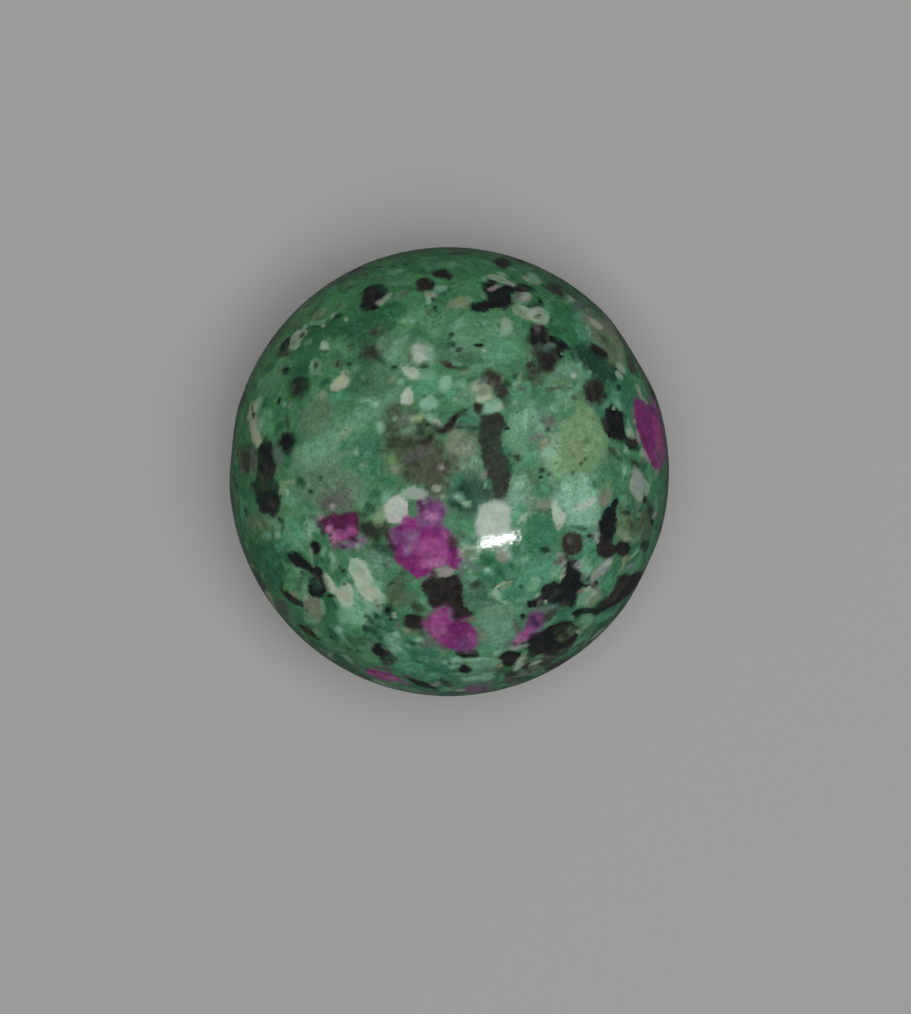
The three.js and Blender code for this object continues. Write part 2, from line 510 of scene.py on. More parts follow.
# %% Stain the green ground
GROUND_STAINS = {
    "upper left belt": ("deep", 0.8, 0.85, "312 328, 352 320, 372 308, 398 312, 384 334, 352 346, 318 340, "
        "298 346"),
    "olive shoulder": ("khaki", 0.5, 0.8, "304 324, 316 308, 332 299, 344 307, 330 315, 327 325, 312 328"),
    "left teal pocket": ("deep", 0.9, 0.6, "290 352, 306 346, 318 356, 308 374, 296 382, 284 372"),
    "left bright field": ("light leaf", 0.8, 0.7, "256 386, 266 370, 282 366, 290 376, 284 392, 262 404"),
    "khaki cloud": ("pale grey green", 1.0, 0.85, "298 426, 304 406, 318 394, 331 396, 334 412, 326 428, "
        "308 437"),
    "grey cloud": ("grey green", 1.0, 0.85, "350 374, 366 362, 386 362, 398 374, 394 390, 376 399, 358 398"),
    "milk field": ("milk green", 0.9, 0.9, "296 452, 320 440, 344 440, 354 452, 346 466, 320 474, 298 470"),
    "milk band": ("mint", 0.7, 0.8, "282 470, 316 443, 352 414, 392 391, 400 398, 366 420, 338 443, "
        "302 468"),
    "teal under the band": ("teal", 0.8, 0.7, "352 440, 372 432, 386 440, 386 462, 374 478, 356 470, "
        "348 452"),
    "left grey edge": ("grey green", 0.7, 0.8, "268 448, 284 444, 296 452, 290 468, 274 474"),
    "top light field": ("light leaf", 0.9, 0.9, "394 320, 410 308, 434 306, 448 314, 450 328, 434 337, "
        "414 330, 398 334"),
    "top teal rim": ("emerald", 0.8, 0.7, "396 262, 420 254, 446 252, 448 264, 430 276, 404 270"),
    "upper pale round": ("milk green", 0.4, 0.9, "376 342, 382 334, 392 332, 401 339, 403 350, 396 360, "
        "386 361, 378 353"),
    "mint by the core": ("mint", 0.6, 0.7, "390 352, 402 345, 409 354, 406 366, 398 372, 390 364"),
    "left mosaic": ("light leaf", 0.4, 0.8, "319 342, 332 337, 345 342, 351 352, 342 362, 326 354"),
    "left limb brown": ("beige", 0.3, 0.5, "290 322, 303 311, 312 301, 307 314, 298 323, 286 331"),
    "upper left rim": ("pale grey green", 0.4, 0.6, "340 283, 354 273, 372 270, 372 276, 356 282, 345 289"),
    "top left light": ("light leaf", 0.6, 0.6, "384 272, 402 269, 412 275, 410 286, 392 286, 382 280"),
    "upper mint field": ("light leaf", 1.0, 0.9, "450 322, 470 312, 496 310, 514 322, 524 342, 518 360, "
        "500 370, 480 364, 456 346"),
    "upper sea field": ("sea", 0.8, 0.55, "482 342, 500 336, 518 346, 514 362, 498 368, 484 360"),
    "grey smear": ("grey green", 0.6, 0.8, "438 346, 456 344, 472 349, 480 358, 470 366, 450 366, 440 360"),
    "mint shelf": ("mint", 0.5, 0.95, "545 370, 560 360, 577 362, 591 377, 588 389, 572 393, 554 391, "
        "544 382"),
    "green under the shelf": ("light leaf", 0.6, 0.8, "548 392, 570 392, 590 392, 598 404, 580 408, "
        "560 416, 548 406"),
    "mint swirl": ("mint", 0.7, 0.95, "508 414, 524 402, 538 404, 549 414, 544 428, 530 432, 516 439, "
        "506 430"),
    "swirl foot": ("light leaf", 0.6, 0.9, "502 438, 520 433, 535 441, 532 457, 516 463, 502 456"),
    "pale ridge": ("pale mint", 0.5, 0.9, "545 440, 553 436, 558 448, 553 463, 543 462, 540 450"),
    "khaki field": ("light khaki", 0.8, 0.8, "560 420, 572 408, 589 408, 601 424, 607 446, 602 464, "
        "588 475, 566 479, 550 474, 546 460, 553 444, 550 430"),
    "khaki light": ("pale khaki", 0.9, 0.6, "566 424, 580 413, 592 426, 597 446, 589 461, 572 464, 562 450, "
        "560 436"),
    "right emerald field": ("emerald", 0.7, 0.95, "546 294, 566 303, 581 316, 589 332, 580 343, 564 340, "
        "553 331, 549 316"),
    "right light edge": ("sea", 0.5, 0.6, "574 322, 587 327, 587 338, 574 339, 568 331"),
    "dark slope": ("dark teal", 0.7, 0.95, "568 344, 586 340, 600 346, 612 358, 622 374, 614 382, 598 377, "
        "584 370, 572 358"),
    "right teal field": ("teal", 0.6, 0.8, "602 384, 618 378, 633 388, 637 402, 631 416, 618 409, 607 398"),
    "right mint chip": ("mint", 0.4, 0.7, "610 394, 618 390, 623 398, 621 408, 613 404"),
    "brown shoulder": ("beige", 0.4, 0.85, "584 309, 597 313, 610 323, 620 340, 625 354, 620 363, 609 356, "
        "597 346, 589 331, 582 319"),
    "brown shoulder green": ("olive", 0.5, 0.6, "602 328, 611 338, 616 350, 610 352, 603 342, 598 334"),
    "upper right rim": ("olive brown", 0.5, 0.7, "548 280, 566 288, 584 301, 600 315, 588 311, 570 301, "
        "552 293"),
    "green by the bar": ("deep", 0.4, 0.75, "447 416, 456 410, 472 412, 480 421, 474 432, 458 431, 449 425"),
    "beige field": ("beige", 0.4, 0.75, "444 447, 450 433, 460 430, 478 434, 480 450, 470 457, 462 463, "
        "451 458"),
    "mint by the bar": ("milk green", 0.5, 0.8, "461 466, 474 458, 486 463, 489 477, 478 484, 466 480"),
    "pale by the bar": ("mint", 0.6, 0.85, "508 478, 522 471, 534 479, 535 492, 520 500, 507 494"),
    "mint by the block": ("pale mint", 0.4, 0.95, "510 498, 527 498, 532 506, 524 518, 516 532, 509 528"),
    "mint under lavender": ("mint", 0.6, 0.8, "452 538, 468 534, 480 546, 476 562, 460 562, 453 550"),
    "green under the block": ("emerald", 0.6, 0.9, "478 556, 500 557, 513 565, 517 580, 500 589, 484 581, "
        "473 568"),
    "dull green block": ("grey green", 0.5, 0.9, "462 578, 480 582, 497 593, 493 608, 476 611, 463 602"),
    "teal block": ("sea", 0.5, 0.6, "502 588, 518 582, 533 592, 525 605, 508 603"),
    "sea field": ("sea", 0.6, 0.95, "514 556, 534 559, 552 555, 560 566, 555 581, 536 586, 520 581, "
        "510 568"),
    "deep grain": ("emerald", 0.25, 0.95, "523 540, 528 517, 538 511, 551 513, 560 528, 557 544, 548 553, "
        "534 563, 520 558"),
    "lower pale field": ("milk green", 0.7, 0.95, "478 614, 500 606, 514 613, 517 630, 507 647, 490 653, "
        "480 641"),
    "lower pale core": ("mint", 0.7, 0.7, "486 622, 502 616, 510 628, 502 640, 490 642"),
    "grey olive grain": ("pale grey green", 0.3, 0.8, "529 493, 548 493, 554 504, 546 512, 530 512, "
        "525 502"),
    "mint block": ("pale mint", 0.4, 0.95, "574 479, 590 475, 597 490, 600 511, 597 526, 582 531, 566 519, "
        "556 504, 555 491"),
    "right mixed field": ("olive", 0.6, 0.85, "620 504, 640 506, 653 520, 649 537, 633 547, 620 535, "
        "616 518"),
    "right mixed light": ("pale khaki", 0.4, 0.7, "617 517, 628 518, 631 532, 623 541, 616 530"),
    "mint wedge": ("sea", 0.4, 0.8, "584 536, 595 536, 595 552, 586 561, 580 552"),
    "lower right rim": ("teal", 0.5, 0.8, "592 618, 610 604, 630 590, 641 580, 637 597, 618 617, 602 629, "
        "590 630"),
    "khaki wedge": ("khaki", 0.4, 0.85, "574 618, 590 612, 598 622, 590 634, 578 632"),
    "deep pocket": ("deep", 0.4, 0.9, "550 608, 566 604, 573 610, 563 618, 550 618"),
    "lower mint": ("milk green", 0.6, 0.9, "450 660, 470 656, 490 655, 501 665, 493 681, 470 684, 452 677"),
    "lower dark rim": ("olive brown", 0.5, 0.8, "500 665, 530 662, 558 660, 546 673, 520 682, 498 682"),
    "left mint field": ("light leaf", 0.6, 0.95, "280 506, 300 500, 315 512, 317 530, 307 547, 292 553, "
        "280 541, 275 522"),
    "left mint streak": ("mint", 0.4, 0.8, "303 520, 312 517, 313 540, 304 547, 299 532"),
    "left mint low": ("mint", 0.5, 0.7, "284 530, 296 526, 301 540, 294 549, 284 543"),
    "wide grey field": ("pale grey green", 0.9, 0.9, "294 474, 320 468, 350 470, 362 484, 358 500, 338 507, "
        "314 506, 296 496"),
    "mauve haze": ("mauve grey", 0.7, 0.75, "320 498, 336 490, 350 494, 356 509, 340 513, 320 515"),
    "left khaki": ("khaki", 0.6, 0.75, "252 514, 268 508, 282 520, 278 538, 262 542, 252 530"),
    "left deep": ("deep", 0.7, 0.9, "250 546, 272 541, 285 551, 289 572, 281 593, 266 585, 255 566"),
    "grey under the ruby": ("grey green", 0.7, 0.85, "352 549, 368 538, 386 541, 393 558, 388 574, 374 578, "
        "361 566"),
    "light under the ruby": ("light leaf", 0.5, 0.8, "368 568, 384 561, 393 575, 386 587, 372 581"),
    "olive grain": ("olive", 0.25, 0.95, "385 594, 390 584, 400 579, 411 581, 417 592, 413 604, 401 609, "
        "390 604"),
    "lower left light": ("light leaf", 0.5, 0.9, "283 579, 296 571, 307 580, 309 594, 300 603, 289 595"),
    "lower left pale": ("milk green", 0.4, 0.7, "296 576, 304 577, 305 590, 298 592"),
    "lower left emerald": ("emerald", 0.4, 0.9, "324 600, 335 597, 339 612, 338 628, 330 637, 322 626"),
    "lower left mint": ("mint", 0.5, 0.95, "336 612, 350 602, 365 604, 363 618, 352 631, 340 637, 332 630"),
    "teal hollow": ("deep", 0.6, 0.85, "361 618, 380 610, 397 616, 399 632, 384 642, 367 636"),
    "lower left field": ("olive", 0.5, 0.6, "338 642, 360 636, 377 644, 373 658, 356 665, 341 656"),
    "lower strip": ("mint", 0.4, 0.85, "385 637, 396 628, 404 640, 405 652, 394 653, 386 648"),
    "lower teal field": ("teal", 0.7, 0.85, "398 661, 410 645, 430 640, 449 648, 451 664, 440 681, 420 685, "
        "402 677"),
    "lower grey teal": ("pale grey green", 0.5, 0.7, "424 644, 440 638, 453 646, 446 658, 428 659"),
    "lower deep spot": ("emerald", 0.4, 0.7, "404 648, 418 646, 421 656, 408 660"),
    "lower left rim": ("dark teal", 0.5, 0.6, "304 640, 326 648, 350 664, 338 668, 316 656"),
    "mint by the crystal": ("bright mint", 0.5, 0.8, "344 598, 356 592, 368 606, 376 616, 360 628, 346 622, "
        "338 610"),
    # Painted light: the mint on the right is the stone's own, and this stain makes it brighter, standing for
    # the stronger light on that side.
    "right mint glow": ("bright mint", 0.7, 0.8, "564 482, 578 476, 590 478, 597 492, 598 516, 592 526, "
        "574 524, 566 506"),
    "shoulder glow": ("spring", 0.8, 0.6, "300 318, 312 303, 326 294, 342 290, 348 302, 338 312, 322 316, "
        "308 322"),
    "deep upper band": ("deep", 1.0, 0.6, "306 330, 330 318, 352 310, 376 314, 398 306, 402 318, 388 326, "
        "350 336, 312 342"),
    "dark right shoulder": ("dark teal", 0.6, 0.85, "572 346, 590 342, 600 352, 606 362, 614 378, 604 382, "
        "590 372, 578 360"),
    "slate hollow": ("slate green", 0.3, 1.0, "460 474, 470 470, 480 479, 492 486, 500 499, 484 502, "
        "477 510, 466 517, 455 513, 447 504, 448 496, 456 488"),
    "mauve by the chain": ("mauve grey", 0.4, 0.7, "532 610, 548 604, 564 602, 562 610, 548 616, 540 622"),
}

for name, (colour, edge, share, outline) in GROUND_STAINS.items():
    lay_stain(ground, PALETTE[colour], edge, share, drawn(outline))
print(len(GROUND_STAINS), "stains in the green ground")

# %% [markdown]
# ## Smoke, feldspar, hornblende and ruby
#
# These are the grains that make this ball this ball. Smoke is iron-stained stone that the light half
# enters, so its edges are soft. Feldspar and hornblende are hard crystals with crisper edges. Each
# entry is a grain: its colour, its edge in mm, and its outline.

# %% Lay the smoky stone
def lay_grains(layer_name, grains, wandering=1.0):
    """Lays every grain of a table, each a colour, an edge in mm and an outline."""
    for colour, edge, outline in grains.values():
        lay_grain(layer_name, PALETTE[colour], edge, drawn(outline), wandering)


SMOKE_GRAINS = {
    "olive patch": ("moss", 0.7, "388 406, 402 404, 415 410, 426 418, 437 432, 445 441, 444 448, 459 459, "
        "457 468, 450 480, 446 494, 437 498, 420 488, 403 484, 396 474, 385 466, 380 446, 385 420"),
    "dark bar": ("brown black", 0.2, "480 417, 490 413, 498 410, 507 424, 503 434, 502 445, 508 456, "
        "511 466, 510 484, 502 499, 493 496, 490 482, 485 477, 484 462, 479 448, 478 430"),
    "brown stub": ("dusk brown", 0.3, "483 376, 489 370, 499 372, 506 381, 509 396, 504 404, 497 398, "
        "491 390, 485 384"),
    "small stub": ("brown black", 0.2, "474 404, 479 401, 484 406, 481 412, 475 412"),
    "smoky arm": ("smoke", 0.8, "527 340, 540 336, 550 342, 562 350, 557 360, 552 373, 545 379, 537 380, "
        "532 372, 535 358"),
    "smoky foot": ("olive brown", 0.5, "524 377, 534 373, 541 380, 536 387, 526 385"),
    "brown gap": ("olive brown", 0.35, "360 521, 375 523, 384 520, 393 530, 393 545, 384 538, 374 536, "
        "364 537"),
    "smoky round": ("smoke", 0.8, "360 348, 367 342, 376 346, 379 356, 370 362, 361 357"),
    "smoky dot": ("smoke", 0.5, "369 331, 376 327, 384 330, 382 335, 374 336"),
    "left smoke": ("black green", 0.6, "289 385, 296 378, 307 379, 309 388, 303 397, 294 396"),
    "long left patch": ("black green", 0.35, "257 447, 268 440, 273 448, 272 460, 276 472, 274 481, "
        "281 492, 278 508, 273 517, 260 512, 256 500, 252 488, 256 470"),
    "left rim olive": ("olive brown", 0.6, "236 450, 246 444, 257 450, 258 463, 254 475, 243 474"),
    "slope wedge": ("black green", 0.5, "591 344, 600 346, 609 356, 603 362, 594 356"),
    "limb dusk": ("smoke", 0.5, "549 283, 560 286, 563 294, 552 291"),
    "lower chain haze": ("black green", 0.6, "548 586, 562 584, 566 598, 556 604, 542 602"),
    "right speck field": ("smoke", 0.5, "648 502, 654 508, 652 520, 646 516"),
    "teal spot": ("dark teal", 0.5, "450 492, 456 485, 466 483, 474 490, 475 502, 468 510, 456 510, "
        "449 502"),
    "lower right haze": ("dusky", 0.6, "540 657, 556 650, 566 653, 552 662, 540 664"),
}
lay_grains("smoke", SMOKE_GRAINS)
print(len(SMOKE_GRAINS), "smoky grains")

# %% Lay the pale grains
PALE_GRAINS = {
    "hexagon": ("bone", 0.16, "384 511, 386 503, 391 497, 398 495, 404 498, 408 504, 409 513, 405 519, "
        "399 523, 392 522, 386 518"),
    "hexagon skirt": ("pale khaki", 0.4, "374 512, 382 508, 385 518, 382 525, 375 522"),
    "thin crystal": ("ivory", 0.16, "401 492, 411 487, 419 489, 427 499, 415 500, 407 497"),
    "block": ("white", 0.25, "477 514, 481 507, 489 502, 500 502, 508 506, 511 516, 511 530, 514 537, "
        "500 546, 482 546, 478 534, 476 524"),
    "core halo": ("milk green", 0.5, "407 353, 413 344, 426 342, 436 350, 435 362, 424 368, 411 364"),
    "core": ("white", 0.25, "413 350, 415 344, 421 342, 426 347, 425 358, 420 362, 414 358"),
    "under the core": ("ice", 0.2, "400 367, 410 366, 420 371, 418 378, 408 377"),
    "under the core right": ("mint", 0.3, "420 371, 434 371, 434 377, 424 380"),
    "chip by the core": ("white", 0.15, "400 398, 403 392, 408 386, 413 392, 414 399, 409 404, 402 403"),
    "mint by the chip": ("pale mint", 0.4, "422 398, 432 395, 437 404, 430 410, 422 406"),
    "pale arc": ("ivory", 0.2, "423 414, 432 416, 441 422, 438 426, 430 422"),
    "mint triangle": ("pale mint", 0.2, "439 381, 449 375, 448 388, 441 388"),
    "upper pale grain": ("ivory", 0.4, "500 320, 507 317, 512 325, 510 333, 503 334"),
    "cream grain": ("cream", 0.35, "474 383, 480 380, 486 387, 493 397, 486 402, 477 401, 472 392"),
    "pale fringe": ("pale mint", 0.3, "483 407, 495 399, 503 403, 497 410, 486 413"),
    "peach lens": ("peach", 0.3, "449 301, 458 297, 471 297, 468 305, 456 308, 450 306"),
    "left crystal": ("cream", 0.16, "331 389, 334 380, 342 371, 349 372, 351 380, 345 388, 336 391"),
    "small square": ("ice", 0.15, "320 343, 326 341, 329 349, 323 351"),
    "ring crystal": ("ivory", 0.2, "287 345, 291 337, 297 331, 303 327, 306 333, 300 342, 293 349"),
    "eye": ("mint", 0.2, "309 366, 312 361, 318 360, 321 366, 319 372, 314 375, 310 371"),
    "left rim cream": ("cream", 0.25, "249 406, 254 404, 256 414, 257 424, 260 434, 261 443, 257 448, "
        "252 440, 250 428"),
    "holed crystal": ("ivory", 0.16, "514 306, 522 304, 530 308, 540 306, 547 312, 549 320, 542 325, "
        "532 320, 524 317, 515 313"),
    "pink by the hole": ("pink white", 0.2, "514 295, 523 291, 531 294, 530 300, 520 301"),
    "right crystal": ("ice", 0.15, "551 506, 555 502, 561 509, 566 517, 563 526, 558 529, 554 520"),
    "diamond": ("ivory", 0.18, "630 485, 633 475, 637 470, 644 478, 650 487, 647 496, 640 503, 635 496"),
    "pink rod": ("pink white", 0.16, "589 581, 595 571, 605 561, 612 557, 612 564, 604 572, 596 579"),
    "beige chip": ("beige", 0.2, "600 492, 608 488, 614 494, 608 504, 600 508"),
    "pale by the spot": ("pale mint", 0.2, "577 563, 586 560, 592 567, 585 577"),
    "pale under the spot": ("pink white", 0.2, "557 553, 565 557, 567 565, 560 566"),
    "pale foot": ("ivory", 0.25, "582 592, 590 587, 601 590, 596 600, 586 605"),
    "lower left crystal": ("ice", 0.2, "348 565, 353 559, 361 558, 367 566, 374 580, 382 593, 384 600, "
        "378 607, 370 605, 361 596, 355 586, 350 576"),
    "lower left tail": ("pale mint", 0.4, "364 600, 376 600, 381 609, 372 613, 364 608"),
    "lower left shard": ("ice", 0.16, "322 574, 330 577, 337 588, 334 595, 327 588"),
    "lower left plate": ("ice", 0.2, "335 592, 342 585, 349 584, 353 592, 352 604, 345 609, 338 600"),
    "lower left beige": ("beige", 0.3, "302 600, 312 596, 320 600, 323 614, 317 622, 307 612"),
    "pale under the light": ("pink white", 0.3, "498 552, 508 548, 511 558, 502 563"),
    "cream under the block": ("ivory", 0.4, "458 551, 466 545, 476 546, 478 556, 470 562, 460 560"),
    "grain under the ruby": ("pink white", 0.16, "431 572, 438 567, 448 567, 456 571, 448 578, 438 579"),
    "top pale chip": ("mint", 0.2, "433 289, 440 285, 449 288, 444 292, 436 292"),
    "top pale grain": ("ivory", 0.2, "426 294, 434 292, 435 299, 428 301"),
    "pale by the top patch": ("ivory", 0.2, "376 305, 382 297, 390 293, 388 299, 381 305"),
    "upper rim pale": ("pale khaki", 0.3, "523 277, 533 275, 544 282, 534 284"),
    "right rim pale": ("mint", 0.25, "563 297, 570 295, 575 302, 568 303"),
    "right rim bright": ("pale mint", 0.15, "616 363, 622 363, 626 370, 620 370"),
    "right rim bright low": ("pale mint", 0.15, "615 372, 620 372, 625 381, 620 380"),
    "shoulder streak": ("cream", 0.2, "590 320, 597 321, 604 327, 598 328"),
    "shoulder rim": ("beige", 0.2, "606 321, 616 333, 625 349, 621 350, 611 336, 604 327"),
    # A painted glint of light at the right ruby's upper edge, near the rim.
    "painted glint by the right ruby": ("ivory", 0.15, "640 397, 645 398, 650 407, 645 405"),
    "mint by the right ruby": ("mint", 0.2, "626 419, 631 424, 635 437, 630 440, 625 430"),
    "pale under the right ruby": ("ivory", 0.2, "640 452, 648 450, 653 460, 646 463"),
    "white streak at the ruby": ("ivory", 0.12, "636 431, 638 431, 641 441, 639 441"),
    "left speckled pale": ("pale mint", 0.3, "274 533, 279 530, 281 537, 276 539"),
    "left nub": ("pale mint", 0.2, "376 424, 381 422, 384 428, 380 435, 377 430"),
    "pale corner": ("pink white", 0.2, "316 519, 321 515, 324 520, 319 524"),
}
lay_grains("pale", PALE_GRAINS, 0.5)
print(len(PALE_GRAINS), "pale grains")

# %% Lay the black grains
BLACK_GRAINS = {
    "block under the ruby": ("brown black", 0.16, "423 580, 433 577, 447 578, 455 574, 461 577, 463 585, "
        "462 600, 464 608, 478 613, 463 620, 456 623, 450 617, 448 608, 432 608, 427 600, 422 590"),
    "left of the lower ruby": ("brown black", 0.2, "403 622, 408 616, 416 614, 424 617, 425 625, 419 631, "
        "410 632, 405 628"),
    "crescent": ("brown black", 0.2, "431 422, 439 428, 445 424, 450 418, 458 412, 466 409, 464 413, "
        "457 419, 454 427, 449 432, 441 435, 435 431"),
    "line under the ruby": ("black", 0.12, "454 652, 463 654, 479 655, 476 659, 464 659"),
    "bean": ("black", 0.15, "459 667, 465 665, 472 669, 468 674, 460 672"),
    "bottom rim line": ("black", 0.12, "407 678, 418 680, 428 684, 438 691, 424 688, 412 683"),
    "brown dash": ("umber", 0.16, "438 361, 447 361, 456 366, 467 367, 466 370, 454 369, 444 366"),
    "top left patch": ("black", 0.25, "361 293, 368 286, 376 284, 387 290, 385 296, 379 302, 376 309, "
        "366 308, 361 301"),
    "top left foot": ("black green", 0.25, "360 304, 367 304, 369 310, 362 311"),
    "top brown spot": ("brown black", 0.2, "416 281, 424 277, 432 280, 434 288, 424 290, 417 287"),
    "top upper spot": ("black", 0.25, "434 273, 442 268, 450 271, 451 278, 443 277, 436 277"),
    "top rim spot": ("black", 0.25, "495 260, 503 257, 511 263, 505 268, 497 265"),
    "top right patch": ("black", 0.18, "482 286, 492 280, 500 286, 512 283, 522 283, 535 288, 531 291, "
        "516 292, 511 298, 513 304, 504 308, 494 308, 488 312, 476 311, 470 305, 478 302, 487 298"),
    "smoke head": ("black", 0.35, "528 331, 534 324, 545 325, 550 334, 547 342, 538 345, 530 341"),
    "smoke middle": ("brown black", 0.45, "543 352, 552 349, 559 356, 554 368, 546 366"),
    "black streak": ("black", 0.14, "548 334, 558 336, 566 341, 571 349, 564 350, 557 344, 549 341"),
    "streak foot": ("black", 0.14, "556 348, 562 346, 565 355, 559 359"),
    "dark wedge": ("black", 0.2, "592 344, 600 347, 608 355, 602 357, 595 352"),
    "soft right spot": ("brown black", 0.45, "583 386, 588 378, 598 376, 606 384, 607 397, 602 406, "
        "591 404, 584 396"),
    "upper right spot": ("black", 0.2, "606 408, 613 404, 620 409, 626 416, 626 430, 627 440, 620 443, "
        "611 438, 605 430, 603 418"),
    "right dash": ("black", 0.12, "617 385, 620 385, 622 389, 618 391"),
    "right knot": ("black", 0.14, "626 441, 633 437, 639 443, 635 450, 628 448"),
    "left rim black": ("black", 0.2, "279 349, 283 341, 289 337, 289 345, 284 353"),
    "left spot": ("black", 0.35, "279 437, 285 431, 292 432, 297 440, 293 448, 288 455, 282 451, 277 444"),
    "left dot": ("black green", 0.25, "281 370, 284 366, 289 367, 289 372, 284 375"),
    "left dash": ("black", 0.1, "276 403, 279 397, 281 398, 279 405"),
    "left patch head": ("black green", 0.2, "258 447, 266 442, 272 445, 273 458, 275 470, 270 478, 262 474, "
        "258 462"),
    "left patch foot": ("black green", 0.2, "257 496, 268 490, 280 492, 281 504, 276 514, 270 517, 260 512"),
    "nub": ("black", 0.2, "311 543, 318 542, 320 551, 315 555, 310 550"),
    "lower left diagonal": ("black", 0.18, "287 553, 296 552, 304 558, 313 565, 321 569, 323 577, 314 576, "
        "305 570, 295 566, 289 560"),
    "lower left column": ("black", 0.18, "309 580, 318 574, 325 582, 325 596, 316 598, 308 592"),
    "rim streak": ("black", 0.16, "278 587, 287 590, 298 600, 304 608, 294 605, 284 596"),
    "lower rim streak": ("black", 0.14, "298 624, 308 628, 316 636, 321 641, 310 636, 302 630"),
    "lower cluster": ("black", 0.16, "370 650, 378 643, 386 647, 388 655, 385 661, 377 656"),
    "round brown spot": ("umber", 0.18, "561 544, 564 535, 573 532, 582 537, 584 546, 579 554, 570 556, "
        "563 552"),
    "chain": ("black", 0.16, "566 563, 573 559, 580 566, 583 578, 591 586, 583 588, 578 594, 577 606, "
        "568 608, 560 604, 548 604, 538 608, 529 607, 528 601, 538 598, 543 589, 549 583, 558 583, 562 575"),
    "upper vertical": ("black", 0.16, "619 496, 619 506, 616 515, 618 526, 613 538, 611 546, 602 546, "
        "600 536, 596 528, 600 518, 605 509, 612 504, 614 499"),
    "lower vertical": ("brown black", 0.16, "599 533, 608 530, 614 542, 617 553, 606 558, 598 553, 597 542"),
    "dark spot by the rod": ("brown black", 0.18, "616 548, 620 541, 628 541, 631 548, 626 556, 618 555"),
    "rim dark spot": ("black green", 0.2, "641 545, 646 540, 650 543, 648 550, 643 551"),
    "lower right wedge": ("black", 0.2, "618 580, 630 574, 645 572, 638 586, 622 601, 606 611, 594 616, "
        "593 611, 604 603, 612 592"),
    "wedge foot": ("black", 0.12, "571 613, 583 608, 598 610, 595 614, 581 614, 574 617"),
    "lower patch": ("black", 0.18, "528 638, 540 632, 551 626, 568 621, 579 630, 576 640, 568 648, 554 653, "
        "536 655, 527 649"),
    "lower patch lobe": ("black", 0.18, "499 660, 504 652, 514 651, 523 656, 516 663, 508 667, 500 665"),
    "shadow in the deep grain": ("bottle", 0.2, "540 548, 550 548, 553 552, 543 553"),
    "brown between": ("umber", 0.3, "520 664, 536 660, 548 664, 536 668, 522 668"),
    "rod hole": ("brown black", 0.12, "591 584, 595 580, 599 583, 596 588, 592 588"),
    "crack in the cream": ("umber", 0.12, "251 406, 253 405, 255 414, 253 419, 251 413"),
    "cream under ruby stain": ("umber", 0.2, "430 572, 434 570, 435 575, 431 577"),
}
lay_grains("black", BLACK_GRAINS, 0.7)
print(len(BLACK_GRAINS), "black grains")

# %% Lay the rubies
RUBY_GRAINS = {
    "middle ruby": ("ruby", 0.22, "389 529, 402 524, 412 517, 421 519, 434 526, 448 530, 456 542, 462 555, "
        "463 564, 455 570, 446 566, 434 570, 428 577, 419 580, 410 574, 400 565, 393 556, 389 544"),
    "violet cap": ("violet", 0.35, "417 500, 427 499, 438 500, 445 505, 447 512, 443 519, 446 529, 434 532, "
        "423 524, 417 512"),
    "left ruby": ("dark ruby", 0.18, "318 518, 340 514, 356 511, 361 524, 360 534, 350 541, 335 542, "
        "327 535"),
    "lower ruby": ("ruby", 0.4, "424 622, 431 613, 441 607, 449 608, 453 618, 459 622, 467 619, 473 627, "
        "478 640, 475 650, 466 653, 449 650, 437 643, 429 635"),
    "right ruby": ("ruby", 0.22, "634 400, 640 399, 650 404, 656 402, 660 411, 664 426, 667 446, 667 458, "
        "661 468, 656 470, 650 461, 644 449, 638 432, 634 416"),
    "lower violet": ("violet", 0.4, "510 644, 522 631, 532 612, 541 612, 548 617, 541 628, 526 641, "
        "516 647"),
    "bottom rim ruby": ("ruby", 0.25, "364 669, 378 670, 390 674, 403 681, 390 681, 376 678"),
    "bottom rim lilac": ("lilac", 0.3, "464 688, 476 686, 488 688, 482 692, 468 692"),
    "left ruby lilac rim": ("lilac", 0.4, "330 542, 350 541, 362 536, 366 542, 352 548, 336 548"),
}
lay_grains("ruby", RUBY_GRAINS, 0.7)
print(len(RUBY_GRAINS), "rubies")
